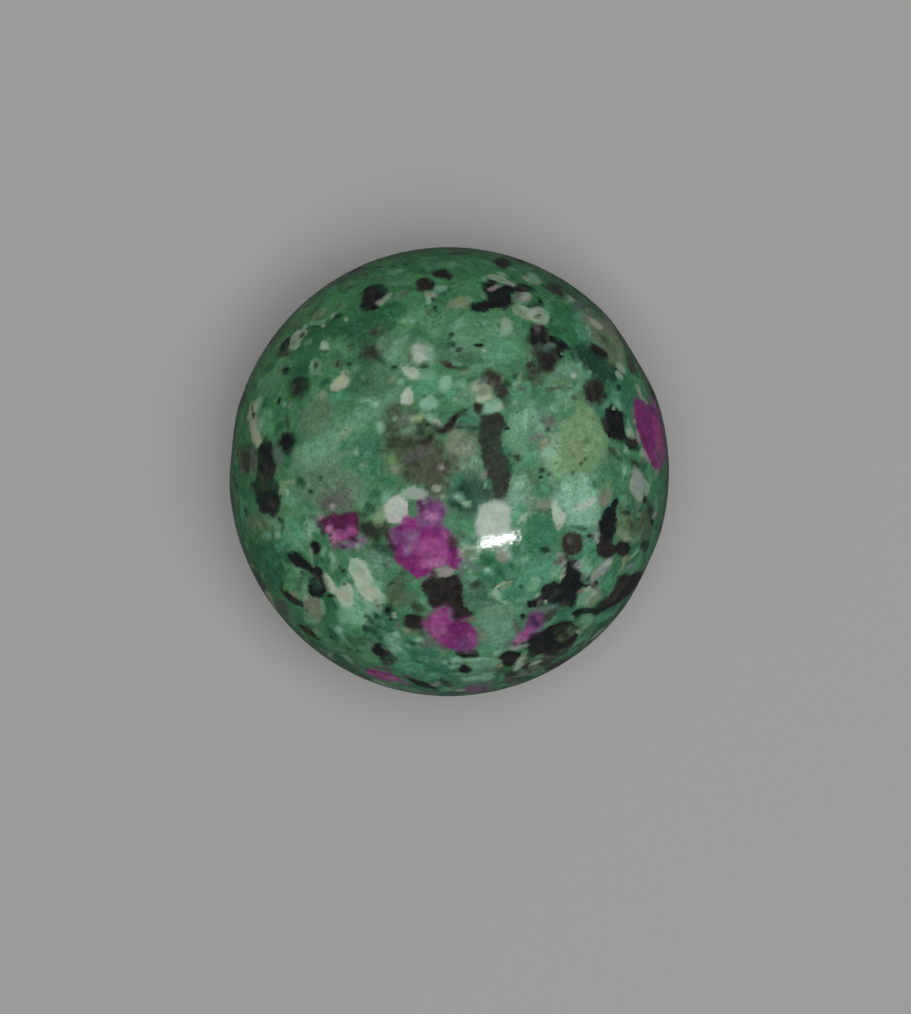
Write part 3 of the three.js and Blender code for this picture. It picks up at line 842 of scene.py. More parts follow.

# %% Lay the bright chips and the painted glints
# Most of these are small pale crystals and cracks. The glints are painted sparkles of light, and the marks on
# the very rim, to the right, lower left and at the bottom, are painted reflections.
CHIPS_AND_PAINTED_GLINTS = {
    "top stripe": ("ivory", 0.12, "486 276, 496 274, 506 279, 516 285, 504 284, 494 280"),
    "top stripe high": ("mint", 0.12, "497 272, 504 273, 508 277, 501 276"),
    "top stripe low": ("pink white", 0.14, "487 289, 492 286, 499 283, 499 287, 491 291"),
    "squiggle": ("ivory", 0.12, "452 494, 459 495, 461 500, 468 503, 465 506, 458 502, 455 497"),
    "squiggle side": ("mint", 0.12, "461 493, 464 491, 465 495, 462 496"),
    "left glint": ("white", 0.12, "285 491, 287 489, 289 492, 287 494"),
    "cream crack": ("cream", 0.1, "494 588, 503 582, 512 580, 512 583, 503 585, 497 589"),
    "branch": ("pale mint", 0.12, "489 590, 496 590, 501 596, 503 603, 498 600, 494 595"),
    "branch end": ("pale mint", 0.12, "502 601, 507 601, 507 605, 504 604"),
    "low glint": ("white", 0.12, "392 614, 394 612, 396 614, 394 616"),
    "spot heart": ("mauve", 0.15, "567 540, 571 538, 573 542, 569 544"),
    "patch speckle low": ("beige", 0.15, "518 660, 524 654, 527 660, 524 666, 516 668"),
    "cluster glint": ("pale grey green", 0.12, "381 645, 386 648, 390 653, 384 650"),
    "painted right rim reflection": ("pale grey green", 0.1, "637 358, 641 362, 645 370, 642 368"),
    "painted lower rim reflection": ("mint", 0.12, "440 690, 448 689, 450 691, 442 692"),
    "painted lower rim reflection right": ("ivory", 0.12, "454 690, 464 689, 465 691, 456 692"),
    "low pale dot": ("pale khaki", 0.15, "443 661, 446 660, 447 663, 444 664"),
    "rim glint": ("pale grey green", 0.1, "274 604, 279 609, 286 618, 282 616, 276 609"),
    "brown stub light": ("beige", 0.2, "489 378, 494 380, 495 384, 491 383"),
    "lower rim hair": ("beige", 0.1, "500 678, 520 673, 540 671, 522 677"),
}
lay_grains("chip", CHIPS_AND_PAINTED_GLINTS, 0.3)
print(len(CHIPS_AND_PAINTED_GLINTS), "bright chips")

# %% [markdown]
# ## Shades inside the grains
#
# A ruby is not one magenta: it is paler where it is fractured and darker where it is clear. These
# stains work on a layer's own colours, and a layer's colour reaches a little beyond its grains, so a
# stain never shows outside them.

# %% Shade the grains
INNER_STAINS = {
    "middle ruby lilac": ("ruby", "lilac", 0.6, 0.7, "404 530, 416 528, 420 540, 416 552, 406 548"),
    "middle ruby bright": ("ruby", "pink", 0.6, 0.6, "418 540, 440 536, 450 552, 446 566, 428 568, 416 556"),
    "middle ruby speckle": ("ruby", "pale pink", 0.5, 0.5, "424 560, 436 556, 444 562, 436 569, 426 568"),
    "middle ruby dark left": ("ruby", "deep magenta", 0.5, 0.7, "388 530, 398 530, 404 550, 414 566, "
        "408 572, 396 560"),
    "middle ruby left corner": ("ruby", "lilac", 0.3, 0.6, "388 528, 396 528, 398 536, 391 538"),
    "violet cap light": ("ruby", "pale pink", 0.4, 0.6, "426 510, 438 514, 434 522, 427 519"),
    "left ruby pink": ("ruby", "pale pink", 0.3, 0.85, "325 526, 331 525, 340 536, 340 541, 331 540, "
        "327 533"),
    "left ruby bright": ("ruby", "pink", 0.4, 0.7, "338 530, 352 526, 357 534, 348 540, 338 541"),
    "left ruby magenta": ("ruby", "deep magenta", 0.4, 0.6, "334 520, 350 514, 356 522, 350 528, 338 527"),
    "lower ruby pink": ("ruby", "pink", 0.6, 0.6, "426 624, 438 612, 448 616, 446 634, 438 638, 430 632"),
    "lower ruby pale": ("ruby", "pale pink", 0.4, 0.5, "432 630, 442 628, 446 640, 438 640"),
    "lower ruby dark": ("ruby", "deep magenta", 0.5, 0.7, "452 622, 464 622, 468 634, 460 644, 450 640"),
    "lower ruby violet": ("ruby", "violet", 0.5, 0.7, "452 640, 466 636, 474 644, 466 652, 454 650"),
    "right ruby streak": ("ruby", "hot pink", 0.3, 0.8, "656 418, 660 422, 662 444, 658 450, 655 436"),
    "right ruby lilac": ("ruby", "lilac", 0.4, 0.6, "654 450, 664 448, 666 460, 658 468"),
    "right ruby rim": ("ruby", "lilac", 0.3, 0.5, "652 404, 660 410, 665 430, 667 456, 664 456, 660 430, "
        "655 412"),
    "lower violet pink": ("ruby", "lilac", 0.4, 0.6, "514 636, 524 628, 528 634, 520 642, 513 643"),
    "lower violet rim": ("ruby", "lilac", 0.4, 0.5, "536 622, 548 616, 544 626, 534 632"),
    "olive patch brown": ("smoke", "warm brown", 0.8, 0.8, "408 452, 424 446, 442 450, 454 456, 456 468, "
        "448 480, 445 490, 436 497, 424 490, 412 474"),
    "olive patch light": ("smoke", "olive", 0.5, 0.6, "392 414, 406 410, 416 418, 404 432, 394 430"),
    "olive patch fringe": ("smoke", "khaki", 0.4, 0.6, "388 462, 400 474, 420 490, 426 498, 414 496, "
        "396 480, 384 466"),
    "bar foot": ("smoke", "dusk brown", 0.4, 0.8, "484 452, 500 450, 508 464, 508 480, 500 476, 488 478"),
    "left patch olive": ("smoke", "olive brown", 0.4, 0.6, "256 476, 268 470, 276 484, 272 496, 260 494"),
    "core halo light": ("pale", "ivory", 0.5, 0.8, "410 348, 420 342, 430 346, 430 358, 418 364, 411 358"),
    "ring dark": ("pale", "emerald", 0.2, 0.6, "292 343, 297 337, 300 338, 295 344"),
    "chain grey": ("black", "dusky", 0.4, 0.6, "546 588, 556 586, 558 596, 548 600"),
    "lower patch green": ("black", "olive brown", 0.5, 0.5, "556 628, 570 624, 576 632, 566 642, 556 640"),
    "top left brown": ("black", "brown black", 0.4, 0.6, "366 290, 376 286, 382 292, 372 298"),
    "smoke head light": ("black", "smoke", 0.3, 0.6, "535 326, 540 327, 540 334, 536 334"),
    "column green": ("black", "grey green", 0.3, 0.6, "312 582, 318 580, 320 588, 314 590"),
}
for layer_name, colour, edge, share, outline in INNER_STAINS.values():
    lay_stain(layers[layer_name]["colour"], PALETTE[colour], edge, share, drawn(outline))
print(len(INNER_STAINS), "shades inside grains")

# %% [markdown]
# ## Specks
#
# Between the large grains sit small dark specks of hornblende and pale chips, and one pale speck is a
# painted sparkle of light. Each is an oval given by its middle, width and height in the picture.
# Anything finer is left to the material.

# %% Lay the drawn specks
DARK_SPECKS = {
    "upper left": "394 367 6 3, 336 316 9 4, 349 364 6 3",
    "upper centre": "424 366 11 4, 452 334 5 3, 453 344 4 4, 459 349 6 3, 479 345 11 4, 433 299 6 5, "
        "435 307 4 5, 424 396 6 3",
    "upper right": "515 376 4 6, 574 397 7 2, 541 301 6 3, 551 320 4 3",
    "middle left": "270 446 5 6, 310 491 5 4, 279 521 2 8, 300 481 6 6",
    "middle right": "507 428 7 3, 548 429 6 5, 581 464 3 4, 586 459 3 3, 518 456 5 3, 542 470 8 3, "
        "549 474 4 4, 541 477 5 2, 573 473 5 3, 652 521 3 9, 628 513 6 5, 645 500 3 8",
    "lower left": "343 571 6 5, 338 567 5 3, 344 584 4 3, 342 547 7 2, 330 596 8 3, 378 606 5 4, "
        "388 610 6 6, 376 617 5 3, 391 619 4 3, 380 638 5 4, 333 637 8 3",
    "lower right": "521 587 5 4, 523 616 5 5, 560 562 4 3, 590 536 6 4, 583 612 5 3, 577 628 4 4",
    "middle centre": "447 462 4 3, 428 424 6 3, 462 421 7 3",
    "lower centre": "496 588 6 2",
}
PALE_SPECKS_AND_SPARKLES = {
    # The first middle speck, on the olive patch, is a painted sparkle of light.
    "middle centre": "436 488 4 3, 443 497 4 4, 488 404 4 3",
    "lower left": "357 546 3 5, 330 655 6 2",
    "middle left": "356 453 4 4, 284 404 4 3, 395 419 4 3",
    "upper left": "323 325 5 3, 305 326 4 3, 346 319 5 3",
    "middle right": "515 402 4 3, 566 400 5 3, 634 421 3 5, 614 408 4 3",
    "upper centre": "455 399 5 4, 484 350 5 3",
    "upper right": "590 372 4 3, 608 380 4 4",
    "lower centre": "470 572 4 3, 484 566 5 3, 408 645 6 3, 418 640 4 4",
    "lower right": "546 602 4 3, 533 579 5 3, 512 648 5 3, 520 645 5 3, 578 632 5 3, 590 560 4 4",
}


SMALLEST_SPECK = 4.2
SPECK_CORNERS = 6


def oval(x, y, wide, high):
    wide, high = max(wide, SMALLEST_SPECK), max(high, SMALLEST_SPECK)
    turns = np.radians(np.arange(0, 360, 360 // SPECK_CORNERS))
    return np.column_stack([x + wide / 2 * np.cos(turns), y + high / 2 * np.sin(turns)])


def lay_specks(layer_name, colour, edge, wandering, places):
    """Lays one small oval grain at every speck of a table."""
    for specks in places.values():
        for speck in read_points(specks):
            lay_grain(layer_name, colour, edge, picture_to_way(rounded(oval(*speck))), wandering)


lay_specks("black", PALETTE["black green"], edge=0.14, wandering=0.35, places=DARK_SPECKS)
lay_specks("chip", PALETTE["ivory"], edge=0.16, wandering=0.3, places=PALE_SPECKS_AND_SPARKLES)
print("specks laid in", len(DARK_SPECKS) + len(PALE_SPECKS_AND_SPARKLES), "places")

# %% [markdown]
# ## The side that faces the shelf
#
# The grains under the ball can't be seen from above, but the ball may be turned or seen from the side.
# There the same kinds of grain are strewn by chance, so that side is made up, and a little plainer than
# the top. The random generator starts from a fixed seed, so every run gives the same stone. A grain
# keeps its distance from others of its kind, and black ones come in groups, as they do on top.

# %% Strew grains below
SEED = 41
HIDDEN_BELOW = 0.24
SPACING_EASE = 0.9995
random = np.random.default_rng(SEED)
towards_camera = unit(np.array(camera.location) - ball_middle)


def scattered(count, spacing):
    """Directions on the hidden side, at least so many mm apart."""
    found = []
    while len(found) < count:
        tried = unit(random.normal(size=3))
        hidden = tried @ towards_camera < HIDDEN_BELOW
        apart = all(math.acos(min(1.0, tried @ other)) * mean_side > spacing * MM for other in found)
        if hidden and apart:
            found.append(tried)
        spacing *= SPACING_EASE
    return found


def random_outline(middle, size, stretch, raggedness):
    """A rounded rough polygon round a direction, of that mean radius in mm."""
    side = unit(np.cross(middle, random.normal(size=3)))
    up = np.cross(middle, side)
    count = int(random.integers(6, 10))
    turns = (np.arange(count) + random.uniform(-0.3, 0.3, count)) * 2 * math.pi / count
    reach = size * MM / mean_side * random.uniform(1 - raggedness, 1 + raggedness, count)
    across = reach * np.cos(turns) * stretch
    along = reach * np.sin(turns) / stretch
    return unit(rounded(middle + across[:, None] * side + along[:, None] * up))


def near_to(middle, distance):
    """Another direction, about so many mm away."""
    return unit(middle + unit(np.cross(middle, random.normal(size=3))) * distance * MM / mean_side)


GROUND_MIX = (
    ["deep"] * 4 + ["emerald"] * 4 + ["light leaf"] * 5 + ["grey green"] * 4 + ["milk green"] * 4
    + ["mint"] * 5 + ["teal"] * 3 + ["sea"] * 2 + ["khaki"] * 3 + ["pale mint"] * 3 + ["olive"] * 2
    + ["dark teal"] * 3 + ["pale grey green"] * 2 + ["pale khaki"] * 2 + ["bottle"] * 4 + ["pale mint"] * 4
)
# Each kind of stain has a radius in mm, a number, a spacing in mm and a strength.
HIDDEN_STAINS = {
    "broad field": (5.2, 34, 8.5, 0.75),
    "patch": (2.8, 90, 5.0, 0.85),
    "fleck": (1.5, 240, 2.8, 0.85),
}


def pick(mix):
    return PALETTE[mix[random.integers(len(mix))]]


for size, count, spacing, share in HIDDEN_STAINS.values():
    for middle in scattered(count, spacing):
        outline = random_outline(middle, size * random.uniform(0.7, 1.3), random.uniform(1, 1.6), 0.3)
        lay_stain(ground, pick(GROUND_MIX), random.uniform(0.35, 0.9), share, outline)
print("hidden ground stained in", len(HIDDEN_STAINS), "sizes")

# %% Strew the crystals below
RUBY_MIX = ["ruby", "ruby", "ruby", "deep magenta", "violet"]
BLACK_MIX = ["black", "black", "brown black", "black green"]
PALE_MIX = ["ivory", "ivory", "white", "mint", "cream", "pale mint", "beige", "pink white"]
SMOKE_MIX = ["smoke", "olive brown", "brown black", "umber", "black green"]
# How many places each kind of grain has, and their spacing in mm.
HIDDEN_PLACES = {"smoke": (14, 11.0), "pale": (170, 3.2), "black": (46, 6.0), "ruby": (14, 11.0)}
# Each shade inside a ruby, with its radius as a share of the ruby's.
RUBY_SHADES = {"lilac": 0.45, "deep magenta": 0.4, "pale pink": 0.35, "pink": 0.4}

for middle in scattered(*HIDDEN_PLACES["smoke"]):
    outline = random_outline(middle, random.uniform(1.2, 3.4), random.uniform(1, 1.5), 0.35)
    lay_grain("smoke", pick(SMOKE_MIX), random.uniform(0.3, 0.8), outline)
for middle in scattered(*HIDDEN_PLACES["pale"]):
    outline = random_outline(middle, random.uniform(0.3, 1.6) ** 1.2, random.uniform(1, 1.5), 0.3)
    lay_grain("pale", pick(PALE_MIX), random.uniform(0.15, 0.35), outline, 0.5)
for middle in scattered(*HIDDEN_PLACES["black"]):
    for step in range(int(random.integers(1, 5))):
        outline = random_outline(middle, random.uniform(0.7, 1.9), random.uniform(1, 1.7), 0.35)
        lay_grain("black", pick(BLACK_MIX), random.uniform(0.14, 0.35), outline, 0.7)
        middle = near_to(middle, random.uniform(1.8, 3.2))
for middle in scattered(*HIDDEN_PLACES["ruby"]):
    size = random.uniform(1.2, 4.0)
    lay_grain("ruby", pick(RUBY_MIX), 0.22, random_outline(middle, size, random.uniform(1, 1.4), 0.25), 0.7)
    black_place = near_to(middle, size * 1.35)
    lay_grain("black", PALETTE["brown black"], 0.18, random_outline(black_place, size * 0.6, 1.3, 0.3), 0.7)
    for shade, reach in RUBY_SHADES.items():
        place = near_to(middle, size * random.uniform(0.3, 0.7))
        stain = random_outline(place, size * reach, random.uniform(1, 1.5), 0.3)
        lay_stain(layers["ruby"]["colour"], PALETTE[shade], 0.5, 0.7, stain)

HIDDEN_SPECKS = {"black": (["black green"], 120), "chip": (["ivory", "mint", "cream"], 110)}
SPECK_SPACING = 3.6
for layer_name, (mix, count) in HIDDEN_SPECKS.items():
    for middle in scattered(count, SPECK_SPACING):
        outline = random_outline(middle, random.uniform(0.22, 0.5), random.uniform(1, 2.2), 0.3)
        lay_grain(layer_name, pick(mix), 0.15, outline, 0.35)
print({name: int((layer["depth"] > 0).sum()) for name, layer in layers.items()}, "corners inside grains")

# %% [markdown]
# ## A mosaic in the ground
#
# So far the ground is a wash of colours, and a rock is a mosaic. Each small crystal now moves towards
# the mean colour of the wash under it and takes a tone of its own, and a few turn milky, clear or
# khaki. It is done twice, with large crystals and then small ones.
#
# Some parts of this stone are calm and some are busy, and a field of numbers says which.

# %% Mark the calm and the busy places
CALM_PLACES = {
    "plateau": (0.35, 1.5, "270 400, 300 392, 372 392, 384 420, 384 470, 360 500, 300 510, 282 470"),
    "khaki field": (0.45, 1.0, "556 420, 590 408, 606 440, 596 472, 560 476, 548 446"),
    "mint block": (0.3, 0.6, "570 484, 594 480, 600 510, 590 528, 566 516"),
    "deep grain": (0.3, 0.5, "524 540, 530 518, 550 513, 558 540, 540 556"),
    "sea field": (0.5, 0.8, "514 556, 552 555, 558 578, 520 581"),
    "lower pale field": (0.3, 1.0, "478 614, 514 613, 507 647, 480 641"),
    "lower mint": (0.4, 1.0, "450 660, 500 658, 490 682, 454 678"),
    "upper mint field": (0.55, 1.2, "456 322, 510 312, 526 345, 500 368, 462 350"),
    "right emerald": (0.45, 1.0, "550 298, 585 320, 580 340, 556 330"),
}
busy_ground = np.full(corner_count, 1.0)
for calm, edge, outline in CALM_PLACES.values():
    near, depth = depth_on_ball(drawn(outline))
    share = np.clip(0.5 + depth / (2 * edge), 0, 1)
    tint(busy_ground, near, calm, share)
print("busy from", busy_ground.min().round(2), "to", busy_ground.max())


# %% Set the crystals into the ground
# The crystals that turn another colour, each from one share of all crystals to another.
TURNED_SHARES = {"pale mint": (0.0, 0.08), "deep": (0.08, 0.17), "khaki": (0.17, 0.2)}
TONE_SEED_AFTER = 50


def set_crystals(size, bend, share, contrast, turned, seed):
    """Evens out the ground within each crystal, and gives each a tone. A few turn another colour."""
    cells, count = split_into_crystals(size, bend, seed)
    chance = np.random.default_rng(seed + TONE_SEED_AFTER)
    members = np.maximum(np.bincount(cells, minlength=count), 1)
    mean = np.stack([np.bincount(cells, ground[:, part], count) for part in range(3)], 1) / members[:, None]
    tone = np.exp(chance.normal(0, contrast, count))
    ground[:] += (mean[cells] - ground) * share
    ground[:] *= (1 + (tone[cells] - 1) * busy_ground)[:, None]
    lot = chance.random(count)
    for name, (low, high) in TURNED_SHARES.items():
        chosen = ((lot >= low) & (lot < high))[cells]
        tint(ground, chosen, PALETTE[name], (turned * busy_ground[chosen])[:, None])


SEEN_CALM = 0.5
SEEN_FADE = 0.2
seen = np.clip((corner_ways @ towards_camera - HIDDEN_BELOW) / SEEN_FADE, 0, 1)
busy_ground *= 1 - SEEN_CALM * seen
set_crystals(size=2.2, bend=0.8, share=0.35, contrast=0.10, turned=0.5, seed=60)
set_crystals(size=1.0, bend=0.45, share=0.4, contrast=0.13, turned=0.45, seed=70)
print("two sizes of crystal set")

# %% Let the green drift, and paint shade round the rim
DRIFT_WAY = unit(np.array([1.0, -1.0, 0.0]))
DRIFT = np.array([0.05, 0.0, 0.15])
RIM_PAINTED_SHADE = np.array([0.36, 0.0, 0.22])
RIM_SHADE_EVEN = 0.6
# The ground grows a little redder and bluer towards +X and -Y.
ground *= np.exp((corner_ways @ DRIFT_WAY)[:, None] * DRIFT)
# Painted shade: red and blue are raised at the middle of the camera's view and lowered round its rim, on this
# side and the far side alike, standing for light that falls off towards the rim.
ground *= np.exp(((corner_ways @ towards_camera) ** 2 - RIM_SHADE_EVEN)[:, None] * RIM_PAINTED_SHADE)
print("the green drifts by", DRIFT.max(), "across the ball and by", RIM_PAINTED_SHADE.max(), "round it")

# %% [markdown]
# ## Small marks, brushed over everything
#
# Between the grains the stone is full of small soft marks: milky wisps, dark specks, brown films. A few
# are painted light instead: sparkles on the olive patch, a glint at the right ruby and a reflection along
# the top rim. They are listed by place and colour, as strokes. A stroke is the two ends of an oval and its
# width, and it tints the ground and the grains alike, so one list serves for both.

# %% Read the strokes
STROKES = {
    "left side": {
        "pale grey green": "277 372 285 364 4, 275 476 281 460 4, 262 515 270 518 5",
        "milk green": "288 408 291 402 4, 320 376 315 360 6, 324 366 328 360 4",
        "dark teal": "281 346 281 352 4, 285 340 286 344 4, 268 481 272 485 5, 274 479 277 495 5, "
            "236 484 236 490 3, 244 505 247 517 4",
        "dusky": "276 354 288 354 6, 287 415 288 431 4",
        "olive": "284 345 289 351 5, 332 366 341 360 5, 252 411 253 418 4, 262 521 268 530 6, "
            "308 515 313 519 5",
        "emerald": "264 372 274 362 8, 262 404 272 400 9, 240 424 244 440 5, 242 488 248 498 9, "
            "299 528 305 513 5, 313 528 318 540 7, 262 543 270 546 7, 283 458 290 464 7",
        "light leaf": "262 392 276 378 12, 252 396 256 390 5, 281 418 284 424 3",
        "mint": "258 388 263 378 6, 262 430 270 411 10, 263 533 270 538 8, 273 522 280 528 7, "
            "282 499 296 501 10, 306 481 311 491 5, 296 544 303 534 8, 296 452 334 448 16",
        "deep": "296 374 308 364 12, 262 406 265 405 4, 320 386 330 378 7, 272 436 284 420 7, "
            "297 481 305 485 8, 308 546 311 550 3",
        "bottle": "284 370 289 371 7, 281 518 283 526 3, 283 526 281 534 3, 309 489 312 494 4, "
            "319 477 323 479 2",
        "pale mint": "256 412 260 399 6, 311 370 312 362 4, 258 430 262 416 6, 309 540 311 520 5, "
            "318 532 313 522 4",
        "black green": "292 382 308 379 4, 268 441 271 456 4, 259 500 263 512 5, 251 483 256 485 6",
        "cream": "253 411 256 403 4, 248 419 250 413 4",
        "sea": "336 397 345 394 8, 330 396 336 400 6, 241 500 242 519 4, 289 518 300 542 12, "
            "281 533 288 544 7",
        "pale khaki": "318 398 324 392 6, 258 521 262 530 5, 281 484 293 482 6, 280 494 286 486 7",
        "brown black": "293 396 299 386 7",
        "dark olive": "303 386 308 385 4",
        "teal": "274 413 282 407 7, 306 502 312 512 6, 283 543 290 549 6",
        "khaki": "310 428 322 402 12, 250 469 254 477 5, 251 515 254 531 8",
        "black": "314 364 316 367 5, 312 543 319 548 8",
        "mauve grey": "238 449 240 458 4, 240 463 242 472 5, 251 444 255 470 6, 326 502 348 494 9",
        "lavender": "274 450 282 462 8, 315 515 317 526 5",
        "olive brown": "245 450 247 474 5, 258 454 262 462 5",
        "umber": "264 465 271 474 8, 263 476 267 482 5, 268 500 276 506 8",
        "ivory": "276 534 279 538 4, 286 489 289 495 4",
        "mauve": "322 505 342 502 12, 333 548 338 544 6",
        "pink white": "318 516 323 518 5, 331 507 335 506 4",
        "dark ruby": "328 517 346 520 10, 334 524 348 527 7",
        "dark violet": "319 524 324 538 5, 321 520 328 521 4",
        "pale pink": "328 527 331 534 4, 331 531 335 537 3, 330 538 337 539 4",
        "spring": "262 410 272 434 10",
    },
    "middle": {
        "umber": "361 352 376 352 6",
        "dusky": "359 356 367 356 6, 357 514 367 517 7, 482 484 490 498 6, 449 537 460 548 8",
        "bottle": "376 357 387 363 5, 391 367 397 367 4, 452 493 461 493 5, 457 500 462 512 6",
        "leaf": "341 353 349 356 7, 341 468 350 459 8",
        "sea": "415 387 437 386 12, 463 521 472 532 9",
        "mint": "387 360 396 351 8, 421 375 433 375 8, 356 401 372 400 7, 424 415 436 416 6, "
            "460 500 463 497 3",
        "pale mint": "441 390 448 377 7, 400 382 404 382 4, 371 405 379 402 6, 423 404 438 403 9, "
            "354 450 358 450 4, 402 493 407 490 5, 382 503 390 493 6, 374 513 379 517 5, 485 484 487 487 3, "
            "453 496 459 494 4, 463 503 469 505 5",
        "mauve grey": "409 361 412 351 5, 396 424 412 415 9, 339 499 350 509 12, 427 498 440 498 5",
        "ivory": "402 367 412 368 4",
        "pale khaki": "388 382 396 377 6, 412 420 424 414 8, 341 437 349 428 8",
        "milk green": "396 393 401 385 5, 429 363 434 353 5, 361 465 368 466 6, 355 490 362 507 10",
        # The second pink white stroke, on the olive patch, is a painted sparkle of light.
        "pink white": "434 423 441 424 4, 439 466 444 469 4, 481 471 486 477 5, 460 556 466 550 7, "
            "424 501 426 504 3",
        "dark bottle": "432 424 440 428 3",
        "khaki": "386 458 395 451 8, 388 457 400 466 9, 466 556 477 550 7",
        "deep": "375 460 377 437 6, 382 462 382 478 4, 374 490 378 504 9",
        "dark teal": "416 425 423 434 8, 366 502 374 514 9, 371 544 394 556 12, 462 482 468 498 8, "
            "377 531 380 540 6",
        "pale grey green": "401 433 416 427 7",
        "olive brown": "386 448 400 438 10, 396 446 420 442 9, 405 471 413 479 8, 414 463 418 468 4, "
            "369 529 375 532 5, 420 486 430 488 5",
        "brown black": "421 444 434 436 8, 385 530 390 544 5, 359 524 377 540 12, 388 545 394 550 5",
        "mauve": "404 459 430 451 10, 389 531 397 540 6",
        "emerald": "345 394 350 386 7, 345 372 352 380 7, 374 456 373 476 8, 383 480 396 481 10",
        "teal": "340 449 348 441 8, 461 536 474 543 8, 455 484 462 474 6",
        # The last white stroke, on the olive patch, is a painted sparkle of light.
        "white": "418 345 419 361 11, 423 356 425 360 7, 386 512 404 500 14, 392 514 400 513 7, "
            "434 487 439 489 4",
        "beige": "389 467 399 472 6, 434 489 438 486 5",
        "lavender white": "409 493 424 493 9",
        "pale pink": "400 523 408 516 3, 428 514 436 517 7, 408 546 411 552 4, 443 532 446 537 4",
        "black": "340 545 345 547 4",
        "blue black": "380 526 385 529 5, 448 498 453 510 5",
        "lilac": "416 523 424 525 7, 404 547 411 556 7, 390 533 396 539 5, 406 534 418 540 10",
        "dark violet": "417 502 423 509 7, 350 537 358 541 5, 428 500 431 506 3",
        "dark ruby": "338 518 350 527 10, 394 527 402 528 3, 451 544 455 559 5",
        "pink": "348 526 357 531 6, 337 533 346 538 6, 420 545 440 545 9",
        "ruby": "405 519 415 527 8, 425 531 444 537 9",
        "violet": "432 502 442 513 7, 397 532 405 544 7",
        "deep magenta": "397 557 405 564 7, 410 556 422 558 5",
        "olive": "455 532 465 538 6",
        "slate green": "474 478 482 498 8",
    },
    "centre top": {
        "umber": "447 364 453 368 5, 486 372 498 383 11, 499 387 504 399 6",
        "bottle": "454 367 467 368 3, 503 384 511 385 4, 481 359 484 360 3",
        "pale khaki": "462 371 468 373 4, 501 382 504 376 3, 519 385 521 372 4, 480 396 488 388 8",
        "mint": "452 361 461 365 4, 471 367 481 369 4, 455 384 466 383 6",
        "milk green": "458 395 471 391 6, 470 401 478 392 7",
        "sea": "447 398 455 391 7, 515 396 530 382 12, 522 460 535 455 8",
        "beige": "479 393 492 389 9",
        "lavender": "478 384 486 379 6",
        "mauve grey": "540 419 552 424 8, 518 386 525 391 5",
        "ivory": "478 400 486 401 5, 497 409 503 407 6",
        "brown black": "475 404 482 412 7, 541 358 552 371 10, 514 454 521 461 7",
        "grey green": "504 397 510 411 6",
        "dark teal": "462 428 480 428 7, 530 361 539 371 9, 503 448 512 456 8",
        "pale mint": "482 411 497 409 4, 524 429 526 409 7, 448 387 449 376 5, 514 384 519 384 4, "
            "548 453 555 447 7",
        "teal": "460 420 480 420 6, 505 445 508 454 6",
        "black green": "457 428 462 425 5",
        "olive": "461 437 474 433 6, 535 384 543 379 7, 546 391 556 388 6",
        "peach": "541 449 548 438 7",
        "lilac grey": "531 439 543 434 6",
        "leaf": "476 363 490 361 4",
        "smoke": "531 348 542 356 10, 529 362 536 374 11",
        "slate green": "536 346 552 352 7",
    },
    "right side": {
        "black": "611 415 618 426 7",
        "brown black": "588 388 596 399 12, 594 346 605 355 5, 513 455 520 461 6, 644 494 648 506 4, "
            "589 534 595 537 3, 617 546 629 553 8",
        "mint": "560 352 571 358 2, 557 372 576 366 9, 577 370 581 362 6, 550 410 562 402 9, "
            "557 397 574 393 7, 521 562 529 556 7, 620 497 626 504 5, 585 560 590 554 5",
        "bottle": "591 358 603 370 13, 601 376 614 380 8, 618 385 621 390 3, 508 461 512 474 5, "
            "616 456 622 461 5, 641 551 648 543 7",
        "emerald": "552 333 588 343 9, 607 385 613 403 6, 620 381 634 387 9, 624 417 628 431 3, "
            "527 536 534 548 8",
        "sea": "578 334 586 339 7, 583 371 591 377 6, 613 395 621 408 7, 541 488 550 492 6, "
            "514 506 527 510 9, 513 515 520 525 8",
        "olive": "601 334 606 342 5, 550 388 575 388 3, 573 398 578 399 5, 528 471 537 486 8, "
            "533 509 550 514 3, 641 508 650 536 8, 640 466 646 456 4",
        "ivory": "617 364 624 370 5, 617 372 622 379 3, 636 383 641 396 4, 627 429 634 437 6, "
            "531 508 522 521 2, 522 521 518 533 2",
        "khaki": "608 348 619 353 7, 550 381 580 382 7, 578 392 584 399 6, 582 445 590 439 6, "
            "609 356 616 366 5, 600 481 606 496 5, 619 523 631 533 10",
        "pale khaki": "618 353 622 359 5, 577 420 592 412 10, 607 481 612 494 4, 619 532 630 541 7",
        "smoke": "628 355 636 376 7, 602 418 607 430 6, 566 557 574 562 6",
        "white": "572 376 576 373 4, 560 515 564 523 5, 553 506 558 512 5, 574 510 595 500 9",
        "umber": "585 385 590 395 6, 591 384 595 399 6, 630 460 636 464 5, 635 462 640 468 4, "
            "628 519 633 529 4",
        "lavender": "632 402 633 426 5",
        "teal": "574 381 575 388 3, 621 394 631 407 10, 596 407 604 416 7, 592 480 599 487 6, "
            "629 506 636 511 6, 589 547 594 555 5",
        "pale mint": "618 401 621 410 4, 516 488 524 480 8, 507 548 510 561 4, 624 447 630 454 4, "
            "623 480 626 466 3, 629 560 640 549 3, 595 518 598 530 4",
        "mauve grey": "551 418 559 426 7",
        "leaf": "562 420 575 407 7, 524 465 538 460 8, 534 488 545 498 9",
        "dusky": "628 440 640 448 8, 609 447 616 454 6, 622 512 626 514 3",
        # The second pink white stroke, at the right ruby's upper edge, is a painted glint of light.
        "pink white": "638 433 640 442 3, 643 396 648 406 3, 642 448 649 462 3, 656 469 658 474 3, "
            "653 519 658 511 3",
        "pink": "656 418 660 431 4, 658 432 662 449 5",
        "violet": "641 401 650 411 6",
